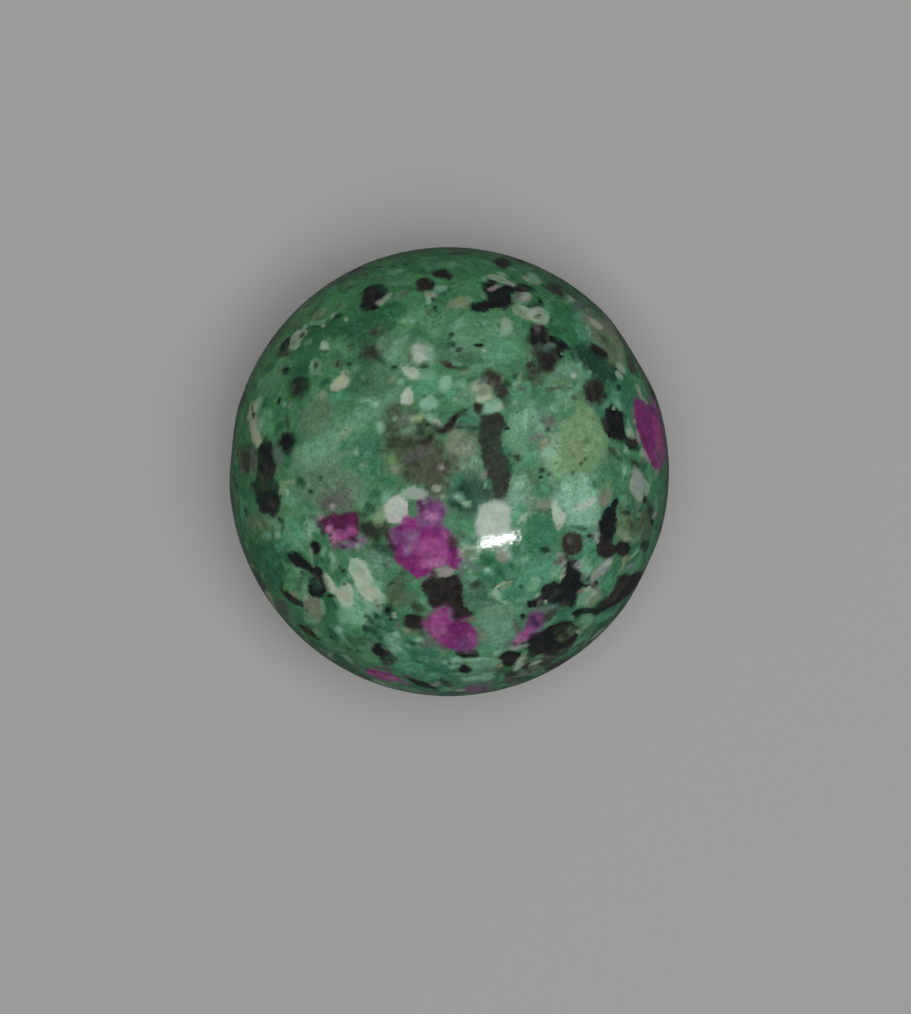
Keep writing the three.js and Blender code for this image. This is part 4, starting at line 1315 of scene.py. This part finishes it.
        "lilac": "650 396 655 405 5",
        "deep magenta": "641 431 647 446 6",
        "beige": "538 504 550 504 7, 497 550 504 560 7, 604 505 611 493 6, 558 526 563 527 3",
        "deep": "481 554 490 563 7, 642 472 648 461 6, 570 527 592 530 4",
        "black green": "541 548 549 551 5",
        "milk green": "602 448 607 459 5, 617 448 621 455 4, 631 545 641 534 6, 652 474 652 486 3, "
            "637 515 640 516 3",
        "lavender white": "634 470 644 486 10, 632 490 646 490 9, 592 531 599 536 5, 595 537 598 543 3, "
            "625 540 628 541 4",
        "pale blue": "640 551 643 553 3, 585 541 590 544 4",
        "hot pink": "652 414 660 438 5",
    },
    "lower left": {
        "emerald": "260 560 272 554 10, 264 574 278 560 8, 330 614 336 626 9",
        "sea": "274 547 285 542 8, 341 630 358 628 8, 334 581 338 586 5",
        "dark teal": "300 572 304 575 4, 312 579 318 590 7, 299 600 303 607 5, 363 625 365 635 4",
        "teal": "274 576 279 592 6, 299 615 303 622 6",
        "bottle": "281 582 284 591 5, 297 553 303 556 5",
        "dark olive": "279 588 283 593 4, 305 626 311 635 6",
        "leaf": "292 624 294 606 6, 346 634 364 632 8",
        "mint": "306 619 318 622 8, 321 600 324 614 4, 322 557 325 548 5, 341 581 347 578 3",
        "pale mint": "331 553 335 568 6, 341 632 336 628 7, 352 562 356 572 6",
        "peach": "287 590 298 598 5",
        "umber": "290 597 296 603 5, 313 573 317 577 5",
        "mauve": "277 600 288 614 10",
        "ivory": "303 601 306 597 4",
        "pale khaki": "314 631 322 637 3, 305 615 320 609 10, 309 546 310 560 3",
        "beige": "307 611 317 603 10, 324 577 329 591 5",
        "olive": "304 609 309 612 4",
        "milk green": "307 557 315 566 4, 331 571 338 560 6",
        "deep": "315 564 322 557 6, 326 554 329 562 3, 326 600 337 610 9, 327 629 340 640 6",
        "black": "293 560 298 564 5",
        "cream": "355 578 359 570 7, 340 590 348 600 9, 336 589 339 594 4",
        "spring": "288 577 296 571 7, 284 588 300 586 9",
        "grey green": "298 589 303 574 6",
    },
    "lower middle": {
        "cream": "366 588 373 596 8, 358 570 362 578 6",
        "ivory": "358 566 366 580 6, 372 597 380 600 5, 392 613 396 617 4",
        "beige": "375 600 379 612 5, 404 628 409 633 4",
        "mint": "372 585 384 584 8, 382 620 384 623 3, 382 597 386 604 4",
        "teal": "388 569 394 577 6, 405 583 414 590 7, 406 637 411 646 6, 425 650 438 656 9",
        "light leaf": "356 650 370 652 12",
        "grey green": "382 562 389 570 7, 407 593 416 602 9",
        "deep": "376 632 380 640 6, 395 657 402 656 4",
        "blue black": "399 574 408 573 4",
        "mauve grey": "423 618 430 612 6, 422 646 433 642 7",
        "bottle": "386 586 393 583 3, 388 603 392 608 5, 373 613 379 618 4",
        "khaki": "387 599 398 604 5, 411 632 417 636 5",
        "olive": "390 597 402 594 8, 386 607 396 600 4",
        "dusky": "410 606 424 610 9",
        "black": "385 609 391 614 7, 371 650 384 652 5, 379 652 384 660 4",
        "lavender": "395 622 400 627 4, 459 562 463 578 7, 358 666 362 670 4",
        "dark teal": "363 627 374 634 8, 411 643 416 647 4, 386 655 398 664 8, 366 616 374 624 7",
        "umber": "386 651 389 654 3, 433 570 436 577 4",
        "pink white": "440 570 452 572 7",
        "pale mint": "390 640 397 632 7, 416 641 421 639 5, 449 659 465 661 6, 443 663 447 663 4, "
            "390 645 402 652 6",
        "mauve": "419 631 424 637 5, 365 668 390 668 4",
        "sea": "400 666 422 666 8, 403 652 408 660 8, 364 612 360 602 6",
        "pink": "430 624 440 614 8, 438 628 444 620 7, 421 565 429 562 6, 432 636 440 632 6",
        "ruby": "426 624 430 629 5, 441 635 447 644 7, 411 571 428 574 6",
        "lilac": "438 640 442 645 4",
        "deep magenta": "404 564 412 570 6, 450 562 456 567 5, 449 626 462 634 8",
        "brown black": "455 655 465 653 6",
        "pale pink": "430 563 435 566 4",
    },
    "lower right": {
        "lavender": "465 562 478 570 9, 506 646 514 641 7, 480 626 484 642 6, 536 614 556 606 4",
        "pale mint": "484 571 490 571 4, 498 600 498 590 3, 534 597 540 594 4, 494 655 502 651 5, "
            "462 660 492 660 5",
        "deep": "481 566 491 562 6, 494 567 505 578 8, 510 563 513 570 4",
        "dusky": "470 588 480 581 7, 556 590 550 601 5, 466 653 479 653 4",
        "mauve": "538 606 542 599 5, 514 619 519 634 5",
        "leaf": "486 598 492 590 6, 514 569 527 573 8, 588 555 592 566 4",
        "black green": "593 613 604 602 7, 575 618 584 611 4",
        "bottle": "504 583 513 581 3, 584 611 592 611 3",
        "peach": "502 588 511 585 3, 622 563 631 557 6",
        "umber": "615 592 627 580 9, 543 597 545 593 3, 562 655 572 645 4",
        "ivory": "489 594 496 594 4, 503 601 508 604 3, 560 581 565 567 3, 586 590 591 589 4, "
            "521 664 526 652 4",
        "olive": "560 640 576 628 10",
        "teal": "505 600 522 590 10, 558 617 572 612 7",
        "mint": "530 590 540 578 9, 550 575 560 570 9, 578 605 584 598 7, 584 626 591 616 10, "
            "580 597 591 594 5, 582 571 589 562 6",
        "mauve grey": "555 563 566 557 6, 582 582 585 574 4, 590 581 599 591 5, 546 658 557 657 3",
        "black": "522 616 527 617 6, 586 584 590 578 4, 580 585 583 588 3, 461 657 480 656 3",
        "smoke": "543 622 556 610 8, 559 606 570 601 6, 567 557 573 562 4, 602 605 618 594 9",
        "violet": "530 622 541 616 9, 542 626 530 612 7, 463 642 470 650 7",
        "dark violet": "532 618 538 626 6, 519 645 528 642 3, 530 637 543 634 6",
        "pink": "522 634 533 628 5, 469 633 476 644 5, 523 640 527 636 4",
        "pale pink": "517 637 521 637 4, 514 642 526 640 4",
        "lavender white": "513 650 520 648 4, 524 646 529 645 3, 577 567 581 563 5, 592 581 611 561 8",
        "blue black": "535 638 545 636 5, 547 588 552 594 8, 566 600 576 592 8",
        "milk green": "492 610 514 609 7, 535 659 545 656 4, 592 600 604 594 6, 570 619 573 617 3",
        "pale khaki": "530 663 542 661 4, 588 606 598 597 7",
        "beige": "481 640 485 633 5",
        "brown black": "500 660 516 658 8, 527 656 545 645 10, 545 656 562 648 6, 618 578 636 576 6, "
            "560 630 570 640 7",
        "sea": "482 654 495 647 8, 596 622 617 611 7, 604 590 611 574 7, 636 570 641 556 5",
        "white": "606 566 611 561 5",
        "pale pink grey": "465 621 476 619 4, 579 593 583 591 3",
        "pale blue": "625 569 634 564 4, 605 573 612 567 3",
        "light khaki": "621 571 624 562 3",
        "emerald": "577 620 578 624 2, 606 596 603 588 4",
    },
    "bottom": {
        "lavender white": "432 685 440 683 4",
        "pink": "367 673 374 675 4, 374 674 396 680 8",
        "pale pink": "390 678 397 679 3",
        "violet": "382 673 392 675 4",
        "mint": "345 656 352 663 4, 421 672 424 669 4, 469 666 500 662 8",
        "light leaf": "337 650 344 650 4, 362 660 372 655 7",
        "deep": "345 648 350 650 3, 355 653 360 652 4, 452 671 459 672 4",
        "lavender": "470 685 496 685 5, 518 677 523 671 4",
        "dusky": "380 660 394 664 8, 440 680 452 686 8",
        "mauve": "385 670 393 670 4, 402 677 411 677 4, 482 690 490 695 6, 505 680 514 683 6, "
            "528 673 533 667 6, 545 657 553 658 3",
        "sea": "405 672 422 668 8, 396 664 404 670 8, 426 680 434 674 6, 500 683 503 674 5",
        "black green": "407 679 430 687 3",
        "lilac": "400 681 408 685 5, 467 690 483 690 5",
        "khaki": "413 678 420 680 3, 513 685 520 683 4, 530 668 545 669 5",
        "teal": "441 671 450 672 7, 422 690 436 692 6, 440 695 456 695 4, 445 679 458 678 7",
        "pale mint": "450 668 460 665 3, 480 679 494 675 8, 466 680 480 678 5",
        "blue black": "505 676 518 674 5",
        "peach": "499 667 503 665 3",
        "emerald": "504 671 509 668 4, 430 668 438 672 7",
        "ivory": "516 668 524 658 6, 530 665 541 662 3, 513 670 520 667 4",
        "olive": "525 661 528 663 4",
    },
    "top": {
        # The first mauve grey stroke, along the top rim, is a painted reflection.
        "mauve grey": "447 250 469 250 2, 388 260 393 258 3, 346 275 366 270 3, 514 300 520 293 6",
        "dusky": "448 253 468 253 2, 417 289 424 290 4, 500 262 507 264 7, 544 285 560 292 7, "
            "371 354 376 345 6",
        "beige": "426 292 431 294 3",
        "ivory": "498 272 506 274 2, 523 277 531 280 3, 522 299 530 294 6, 530 311 545 321 10, "
            "569 296 574 301 3, 303 331 305 333 3, 295 341 298 336 4, 289 345 294 349 2, 294 349 300 344 2",
        "bottle": "374 268 383 266 3, 391 266 399 266 2, 447 291 451 288 3, 433 308 441 312 3, "
            "449 339 452 334 3, 449 343 456 346 3, 477 322 483 327 3, 483 281 486 289 3, 526 288 537 291 3, "
            "538 297 544 301 2, 333 318 336 316 3, 336 316 342 313 3, 303 308 309 304 2, 322 351 327 351 2, "
            "376 285 389 284 2, 379 289 387 290 7",
        "deep": "400 263 408 264 3, 420 270 424 275 6, 390 287 412 287 2, 384 308 396 303 5, "
            "511 274 514 281 4, 549 322 552 323 3, 552 330 568 332 8, 309 328 320 325 2, "
            "348 336 362 322 12, 358 338 366 333 5, 550 325 560 335 7",
        "mint": "390 273 403 270 5, 404 283 412 283 4, 446 264 455 262 4, 464 297 473 300 4, "
            "382 301 390 297 4, 404 338 410 335 4, 453 328 463 320 9, 483 325 488 321 5, 480 293 485 298 3, "
            "508 268 522 270 3, 482 280 489 276 3, 310 323 326 320 4, 391 350 399 341 7",
        "pale mint": "434 288 445 287 5, 401 321 419 320 4, 427 304 431 299 3, 429 347 430 361 8, "
            "530 274 539 282 7, 330 318 334 313 3, 304 328 307 325 3, 587 323 589 335 4, 501 336 507 330 5, "
            "546 310 549 320 4",
        "olive": "377 278 384 280 4, 347 286 351 287 3, 309 318 318 306 4, 534 316 539 318 2, "
            "373 329 380 329 3, 425 306 430 318 5",
        "emerald": "436 260 446 254 7, 314 337 325 332 7, 385 312 398 316 8, 565 325 577 336 8",
        "teal": "431 267 436 261 5, 337 283 342 278 5",
        "brown black": "433 271 447 276 7, 418 281 432 286 8, 543 354 551 368 9, 361 293 366 303 5",
        "umber": "457 351 463 349 3, 519 284 526 290 5, 544 331 549 341 3, 374 332 380 332 3, "
            "552 353 557 357 3",
        "black green": "448 272 449 280 4, 432 281 434 288 2, 473 302 473 311 4, 560 293 564 296 3, "
            "361 305 368 309 5",
        "dark teal": "441 294 448 291 3, 527 306 544 304 4, 588 360 600 358 10",
        "black": "475 307 488 309 4, 487 279 500 284 3, 500 283 511 286 2, 558 344 562 347 5, "
            "538 312 541 315 4",
        "lavender": "397 297 408 290 7, 575 310 584 298 7, 562 300 568 296 4, 545 349 553 344 5",
        "pink white": "432 296 436 294 3, 376 303 382 300 3, 582 313 590 319 4",
        "peach": "452 304 463 301 5",
        "pale khaki": "446 307 468 299 9, 498 279 508 282 3, 313 318 326 309 7, 585 308 595 312 4, "
            "514 306 526 317 8",
        "leaf": "516 270 524 275 5",
        "khaki": "312 302 319 298 5, 336 308 342 303 5, 344 282 352 281 4",
        "sea": "325 303 333 299 6, 416 320 421 308 5, 578 326 584 338 8, 574 318 584 311 7, "
            "326 294 336 286 6",
        "lavender white": "490 276 498 278 3, 508 282 516 285 3",
        "light leaf": "546 302 554 296 7, 341 352 345 357 6, 326 340 331 337 4",
        "dark olive": "337 363 341 368 4, 350 348 353 345 4, 301 334 304 337 3",
        "milk green": "379 348 383 338 7, 529 354 530 360 3, 304 345 311 339 6, 385 283 398 283 4",
        "blue black": "367 301 371 292 5",
        "mauve": "536 324 538 332 4, 297 325 301 329 4",
        "white": "295 333 300 331 4, 528 315 542 308 5",
        "cream": "592 320 600 328 5",
    },
}
STROKE_SHARE = 0.85
STROKE_SIDES = 12
LONGER_BY = 0.15
LEAST_EDGE = 0.08
EDGE_OF_WIDTH = 0.22
STROKE_WANDERING = 0.6
PIXEL_MM = pixel_size / MM


def stroke_outline(x1, y1, x2, y2, wide):
    """An oval round the line from one picture point to another, somewhat longer than the line."""
    middle = np.array([x1 + x2, y1 + y2]) / 2
    along = np.array([x2 - x1, y2 - y1]) / 2
    length = max(math.hypot(*along), TINY)
    along *= (length + LONGER_BY * wide) / length
    across = np.array([-along[1], along[0]]) / math.hypot(*along) * wide / 2
    turns = (np.arange(STROKE_SIDES) / STROKE_SIDES * 2 * math.pi)[:, None]
    return picture_to_way(middle + along * np.cos(turns) + across * np.sin(turns))


def brush(colour, wide, outline_ways):
    """Tints the ground and every layer's own colour alike."""
    edge = LEAST_EDGE + EDGE_OF_WIDTH * wide * PIXEL_MM
    near, amount = stain_amount(edge, STROKE_SHARE, outline_ways, STROKE_WANDERING)
    for colours in [ground] + [layer["colour"] for layer in layers.values()]:
        tint(colours, near, colour, amount)


stroke_count = 0
for region in STROKES.values():
    for name, strokes in region.items():
        for x1, y1, x2, y2, wide in read_points(strokes):
            brush(PALETTE[name], wide, stroke_outline(x1, y1, x2, y2, wide))
            stroke_count += 1
print(stroke_count, "strokes brushed")

# %% Brush the side that isn't seen
UNSEEN_MIX = (
    GROUND_MIX + PALE_MIX + ["bottle"] * 3 + ["black green", "umber", "smoke", "beige", "mauve grey"] * 2
)
UNSEEN_COUNT = 1300
UNSEEN_SPACING = 1.4
unseen_places = scattered(UNSEEN_COUNT, UNSEEN_SPACING)
for middle in unseen_places:
    size = random.uniform(0.14, 0.7)
    outline = random_outline(middle, size, random.uniform(1.2, 2.6), 0.3)
    brush(pick(UNSEEN_MIX), 2 * size / PIXEL_MM, outline)
print(len(unseen_places), "more on the unseen side")

# %% [markdown]
# ## Polish relief
#
# Lapping cuts soft minerals a little deeper than hard ones. Ruby is the hardest and stands proud, and
# hornblende lies low. The steps are only hundredths of a millimetre, but a mirror finish shows them:
# a highlight breaks where it crosses a grain's border. They are real shape here, not a bump, and a
# slow unevenness is added, as hand lapping leaves one. All of it lies just inside the frame's ball.

# %% Raise and lower the grains
RELIEF_MM = {"smoke": -0.006, "pale": 0.010, "black": -0.022, "ruby": 0.026, "chip": 0.0}
RELIEF_SLOPE = 0.45
LAP_WAVE = 6.0
LAP_UNEVENNESS = 0.018
LAP_SEED = 5
ALL_OVER_WEAR = 0.055
ON_FLAT_BELOW = 1e-6


def step_up(value):
    share = np.clip(value, 0, 1)
    return share * share * (3 - 2 * share)


relief = LAP_UNEVENNESS * slow_noise(LAP_WAVE, LAP_SEED) - ALL_OVER_WEAR
for layer_name, height in RELIEF_MM.items():
    cover = step_up(0.5 + layers[layer_name]["depth"] / (2 * RELIEF_SLOPE))
    relief = relief * (1 - cover) + (relief + height) * cover
on_flat = corners[:, 2] < ON_FLAT_BELOW
relief[on_flat] = 0
write_corners(ball.data, corners + corner_ways * (relief * MM)[:, None])
print(f"relief from {relief.min():.3f} to {relief.max():.3f} mm")

# %% Store the layers on the mesh
def store(name, kind, values):
    attribute = ball.data.attributes.new(name, kind, "POINT")
    field = "color" if kind == "FLOAT_COLOR" else "value"
    if kind == "FLOAT_COLOR":
        values = np.column_stack([values, np.ones(corner_count)])
    attribute.data.foreach_set(field, np.asarray(values, np.float32).ravel())


store("ground_colour", "FLOAT_COLOR", ground)
for layer_name, layer in layers.items():
    store(layer_name + "_depth", "FLOAT", layer["depth"])
    store(layer_name + "_edge", "FLOAT", layer["edge"])
    store(layer_name + "_wander", "FLOAT", layer["wander"])
    store(layer_name + "_colour", "FLOAT_COLOR", layer["colour"])
print(len(ball.data.attributes), "attributes on the ball")

# %% [markdown]
# ## Helpers for the material
#
# A node is added, set and wired in one call, so that a material reads as a list of what it is made of.
# One effect is used for every layer, so it is a node group: the ragged edge cuts a grain out of its
# stored depth, after a noise has bitten into it.

# %% A node in one call
def put(tree, kind, inputs=None, **settings):
    """Adds a node, sets its options, and fills its inputs with values or other nodes' outputs."""
    node = tree.nodes.new(kind)
    for name, value in settings.items():
        setattr(node, name, value)
    for key, value in (inputs or {}).items():
        if isinstance(value, bpy.types.NodeSocket):
            tree.links.new(value, node.inputs[key])
        else:
            node.inputs[key].default_value = value
    return node


def maths(tree, operation, *values, clamp=False):
    inputs = dict(enumerate(values))
    return put(tree, "ShaderNodeMath", inputs, operation=operation, use_clamp=clamp).outputs[0]


def vector_maths(tree, operation, *values, scale=None):
    inputs = dict(enumerate(values))
    if scale is not None:
        inputs["Scale"] = scale
    return put(tree, "ShaderNodeVectorMath", inputs, operation=operation).outputs[0]


def blend(tree, factor, first, second, mode="MIX"):
    inputs = {0: factor, 6: first, 7: second}
    return put(tree, "ShaderNodeMix", inputs, data_type="RGBA", blend_type=mode).outputs[2]


def carry(tree, value, low, high, to_low=0.0, to_high=1.0, kind="SMOOTHSTEP"):
    """Carries a value from one range to another, and stops at the ends."""
    inputs = {0: value, 1: low, 2: high, 3: to_low, 4: to_high}
    return put(tree, "ShaderNodeMapRange", inputs, interpolation_type=kind).outputs[0]


def cloud(tree, vector, waves_per_mm, detail, roughness=0.55, output="Fac"):
    inputs = {"Vector": vector, "Scale": waves_per_mm, "Detail": detail, "Roughness": roughness}
    return put(tree, "ShaderNodeTexNoise", inputs).outputs[output]


def new_group(name, inputs, outputs):
    """A shader node group with named inputs, each with its kind and default, and named outputs."""
    group = bpy.data.node_groups.new(name, "ShaderNodeTree")
    for label, (kind, default) in inputs.items():
        socket = group.interface.new_socket(label, in_out="INPUT", socket_type=kind)
        if default is not None:
            socket.default_value = default
    for label, kind in outputs.items():
        group.interface.new_socket(label, in_out="OUTPUT", socket_type=kind)
    return group, group.nodes.new("NodeGroupInput").outputs, group.nodes.new("NodeGroupOutput").inputs


FLOAT = "NodeSocketFloat"
print("helpers ready")

# %% The ragged edge of a grain
ragged_edge, given, result = new_group(
    "ragged_edge",
    {"Depth": (FLOAT, 0.0), "Edge": (FLOAT, 0.2), "Bite": (FLOAT, 0.0), "Bite depth": (FLOAT, 0.3)},
    {"Mask": FLOAT},
)
cut = maths(ragged_edge, "MULTIPLY_ADD", given["Bite"], given["Bite depth"], given["Depth"])
low_end = maths(ragged_edge, "MULTIPLY", given["Edge"], -1.0)
solid = carry(ragged_edge, cut, low_end, given["Edge"])
ragged_edge.links.new(solid, result["Mask"])
print("group", ragged_edge.name)

# %% [markdown]
# ## The stone
#
# The material starts from the stored ground colour and lays clouds of three sizes over it, so that no
# patch of it is even. Then each layer is laid over it through its ragged mask, and every layer but the
# chips has a mottling of its own. All patterns read the Object coordinates, in millimetres, so they are
# part of the stone: they have the right size, and don't slide or stretch anywhere on the ball.

# %% Start the stone's material
stone = bpy.data.materials.new("polished_epidote_rock")
stone.use_nodes = True
tree = stone.node_tree
tree.nodes.clear()
object_place = put(tree, "ShaderNodeTexCoord").outputs["Object"]
place = vector_maths(tree, "SCALE", object_place, scale=1 / MM)
moved = vector_maths(tree, "ADD", place, (37.0, 11.0, 23.0))
far_moved = vector_maths(tree, "ADD", place, (71.0, 29.0, 53.0))


def stored(name, output):
    inputs = {"attribute_name": name, "attribute_type": "GEOMETRY"}
    return put(tree, "ShaderNodeAttribute", **inputs).outputs[output]


def lightened(colour, *factors):
    """A colour multiplied by factors that vary over the surface."""
    product = factors[0]
    for factor in factors[1:]:
        product = maths(tree, "MULTIPLY", product, factor)
    return vector_maths(tree, "SCALE", colour, scale=product)


def rgb(name):
    return tuple(PALETTE[name]) + (1.0,)


wide_cloud = cloud(tree, place, 0.35, 4.0)
mid_cloud = cloud(tree, moved, 0.9, 4.0)
fine_cloud = cloud(tree, place, 2.3, 4.0, 0.6)
grain_cloud = cloud(tree, far_moved, 1.5, 3.0)
print("material", stone.name)

# %% The ground's clouds
CLOUD_THIN, CLOUD_THICK = 0.3, 0.7
MILKY_SHARE = 0.32
CLEAR_SHARE = 0.36


def mottle(cloud_value, least, most):
    """A brightness that follows a cloud, from its thin places to its thick ones."""
    return carry(tree, cloud_value, CLOUD_THIN, CLOUD_THICK, least, most)


ground_colour = lightened(
    stored("ground_colour", "Color"),
    mottle(mid_cloud, 0.86, 1.16),
    mottle(fine_cloud, 0.84, 1.2),
)
milky = carry(tree, grain_cloud, 0.58, 0.72, 0.0, MILKY_SHARE)
ground_colour = blend(tree, milky, ground_colour, rgb("mint"))
clear = carry(tree, grain_cloud, 0.42, 0.28, 0.0, CLEAR_SHARE)
ground_colour = blend(tree, clear, ground_colour, rgb("grey green"))
print("ground mottled")

# %% Hair cracks, pale veins and pepper
CRACK_WAVES = 0.5
CRACK_HALF_WIDTH = 0.011


def thin_lines(vector, waves_per_mm, strength, where):
    """Lines where a noise crosses its middle value, kept to the places where another is high."""
    off_middle = maths(tree, "ABSOLUTE", maths(tree, "SUBTRACT", cloud(tree, vector, waves_per_mm, 3.0), 0.5))
    line = carry(tree, off_middle, 0.0, CRACK_HALF_WIDTH, strength, 0.0)
    return maths(tree, "MULTIPLY", line, carry(tree, where, 0.52, 0.62))


cracks = thin_lines(moved, CRACK_WAVES, 0.6, wide_cloud)
veins = thin_lines(far_moved, 0.8 * CRACK_WAVES, 0.45, maths(tree, "SUBTRACT", 1.0, wide_cloud))
pepper_cloud = cloud(tree, moved, 2.1, 2.0)
pepper = carry(tree, pepper_cloud, 0.66, 0.7, 0.0, 0.75)
pepper = maths(tree, "MULTIPLY", pepper, carry(tree, mid_cloud, 0.5, 0.6))
ground_colour = blend(tree, veins, ground_colour, rgb("pale mint"))
ground_colour = blend(tree, cracks, ground_colour, rgb("bottle"))
ground_colour = blend(tree, pepper, ground_colour, rgb("black green"))
print("cracks, veins and pepper drawn")

# %% Each mineral's own mottling
# The least and most brightness of a mineral's clouds and of its grain, and the colour that shows in
# its fine clouds: from where, to where, and how strongly.
MOTTLING = {
    "smoke": ((0.8, 1.25), (0.8, 1.25), ("olive", 0.54, 0.7, 0.25)),
    "pale": ((0.88, 1.08), (0.93, 1.05), None),
    "black": ((0.75, 1.3), (0.8, 1.25), ("umber", 0.56, 0.72, 0.3)),
    "ruby": ((0.84, 1.18), (0.85, 1.16), ("pink", 0.55, 0.7, 0.3)),
}
layer_colours = {"chip": stored("chip_colour", "Color")}
for layer_name, (clouds, grain, glint) in MOTTLING.items():
    own_colour = stored(layer_name + "_colour", "Color")
    colour = lightened(own_colour, mottle(mid_cloud, *clouds), mottle(grain_cloud, *grain))
    if glint:
        glint_colour, start, full, share = glint
        glint_mask = carry(tree, fine_cloud, start, full, 0.0, share)
        colour = blend(tree, glint_mask, colour, rgb(glint_colour))
    layer_colours[layer_name] = colour
print("mottled:", list(MOTTLING))

# %% Lay the layers over each other
BITE_DEPTHS = {"smoke": 0.4, "pale": 0.3, "black": 0.42, "ruby": 0.3, "chip": 0.2}
COVERS = {"smoke": 0.9, "pale": 0.94, "black": 1.0, "ruby": 1.0, "chip": 0.85}
bite = carry(tree, fine_cloud, 0.25, 0.75, -1.0, 1.0, "LINEAR")
softness = carry(tree, mid_cloud, 0.35, 0.65, 0.7, 2.6)
masks = {}
stone_colour = ground_colour
for layer_name in LAYER_NAMES:
    bite_depth = maths(tree, "MULTIPLY", stored(layer_name + "_wander", "Fac"), BITE_DEPTHS[layer_name])
    cutter = put(tree, "ShaderNodeGroup", node_tree=ragged_edge, inputs={
        "Depth": stored(layer_name + "_depth", "Fac"),
        "Edge": maths(tree, "MULTIPLY", stored(layer_name + "_edge", "Fac"), softness),
        "Bite": bite,
        "Bite depth": bite_depth,
    })
    masks[layer_name] = maths(tree, "MULTIPLY", cutter.outputs["Mask"], COVERS[layer_name])
    stone_colour = blend(tree, masks[layer_name], stone_colour, layer_colours[layer_name])
print("layers", list(masks))

# %% [markdown]
# ## Gloss and fine relief
#
# Epidote and zoisite have a refractive index near 1.7, so a polished face of them is a brighter mirror
# than glass. The polish is good but not perfect: it is a little hazier on the pale grains and in
# clouds here and there. A shallow bump stands for what the mesh is too coarse for.

# %% Finish the stone
BEST_POLISH, HAZIEST_POLISH = 0.05, 0.09
PALE_HAZE = 0.03
BUMP_HEIGHT = 0.045 * MM
rough = mottle(wide_cloud, BEST_POLISH, HAZIEST_POLISH)
rough = maths(tree, "MULTIPLY_ADD", masks["pale"], PALE_HAZE, rough)
bump = put(tree, "ShaderNodeBump", {"Strength": 0.4, "Distance": BUMP_HEIGHT, "Height": grain_cloud})
surface = put(tree, "ShaderNodeBsdfPrincipled", {
    "Base Color": stone_colour,
    "Roughness": rough,
    "IOR": 1.70,
    "Normal": bump.outputs["Normal"],
})
output = put(tree, "ShaderNodeOutputMaterial", {"Surface": surface.outputs["BSDF"]})
ball.data.materials.clear()
ball.data.materials.append(stone)
print("the stone has", len(tree.nodes), "nodes")

# %% Hand the ball over to the frame
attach(ball, "root")
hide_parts("stone_ball")
print("ball rides on root")

# %% [markdown]
# ## Shelf and light
#
# The ball stands on a plain pale floor. A wide soft lamp overhead lights it as a studio would, and one
# small bright lamp gives the single hard highlight that tells the eye how good the polish is. The wall
# behind is pale where the camera looks straight at it, and gives the stone only a dim fill light.

# %% Lay the floor
FLOOR_SIZE = 3.0
PAPER_COLOUR = (0.45, 0.45, 0.44, 1.0)
deselect_all()
bpy.ops.mesh.primitive_plane_add(size=FLOOR_SIZE)
floor = bpy.context.object
floor.name = "studio_floor"
paper = bpy.data.materials.new("pale_paper")
paper.use_nodes = True
paper_shader = paper.node_tree.nodes["Principled BSDF"]
paper_shader.inputs["Base Color"].default_value = PAPER_COLOUR
paper_shader.inputs["Roughness"].default_value = 0.9
paper_shader.inputs["Specular IOR Level"].default_value = 0.1
floor.data.materials.append(paper)
floor.visible_glossy = False
print("floor", FLOOR_SIZE, "m wide")


# %% Hang the lamps
def area_lamp(name, place_m, wide, high, watts, roll=0.0):
    data = bpy.data.lights.new(name, "AREA")
    data.shape = "RECTANGLE"
    data.size = wide
    data.size_y = high
    data.energy = watts
    lamp = bpy.data.objects.new(name, data)
    lamp.location = place_m
    aim = Vector(ball_middle) - Vector(place_m)
    lamp.rotation_euler = (aim.to_track_quat("-Z", "Y").to_matrix().to_4x4()).to_euler()
    lamp.rotation_euler.rotate_axis("Z", roll)
    bpy.context.scene.collection.objects.link(lamp)
    return lamp


KEY_WAY = np.array([0.402, -0.545, 0.72])
KEY_DISTANCE = 1.0
KEY_ROLL = math.radians(-28)
SOFT_PLACE = (0.092, -0.092, 1.5)
SOFT_SIDE = 0.86
key_place = ball_middle + unit(KEY_WAY) * KEY_DISTANCE
key = area_lamp("highlight_lamp", key_place, wide=0.33, high=0.054, watts=1.5, roll=KEY_ROLL)
key.visible_diffuse = False
soft = area_lamp("overhead_softbox", SOFT_PLACE, wide=SOFT_SIDE, high=SOFT_SIDE, watts=17.3)
soft.visible_camera = False
soft.visible_glossy = False

world = bpy.data.worlds.new("studio")
world.use_nodes = True
WALL_COLOUR = (0.96, 0.98, 1.0, 1.0)
WALL_BRIGHTNESS = 0.3
FILL_BRIGHTNESS = 0.045
world_tree = world.node_tree
background = world_tree.nodes["Background"]
background.inputs["Color"].default_value = WALL_COLOUR
seen_straight = world_tree.nodes.new("ShaderNodeLightPath").outputs["Is Camera Ray"]
brightness = world_tree.nodes.new("ShaderNodeMapRange")
brightness.inputs["To Min"].default_value = FILL_BRIGHTNESS
brightness.inputs["To Max"].default_value = WALL_BRIGHTNESS
world_tree.links.new(seen_straight, brightness.inputs["Value"])
world_tree.links.new(brightness.outputs["Result"], background.inputs["Strength"])
bpy.context.scene.world = world
bpy.context.scene.view_settings.view_transform = "Standard"
print("lamps hung")
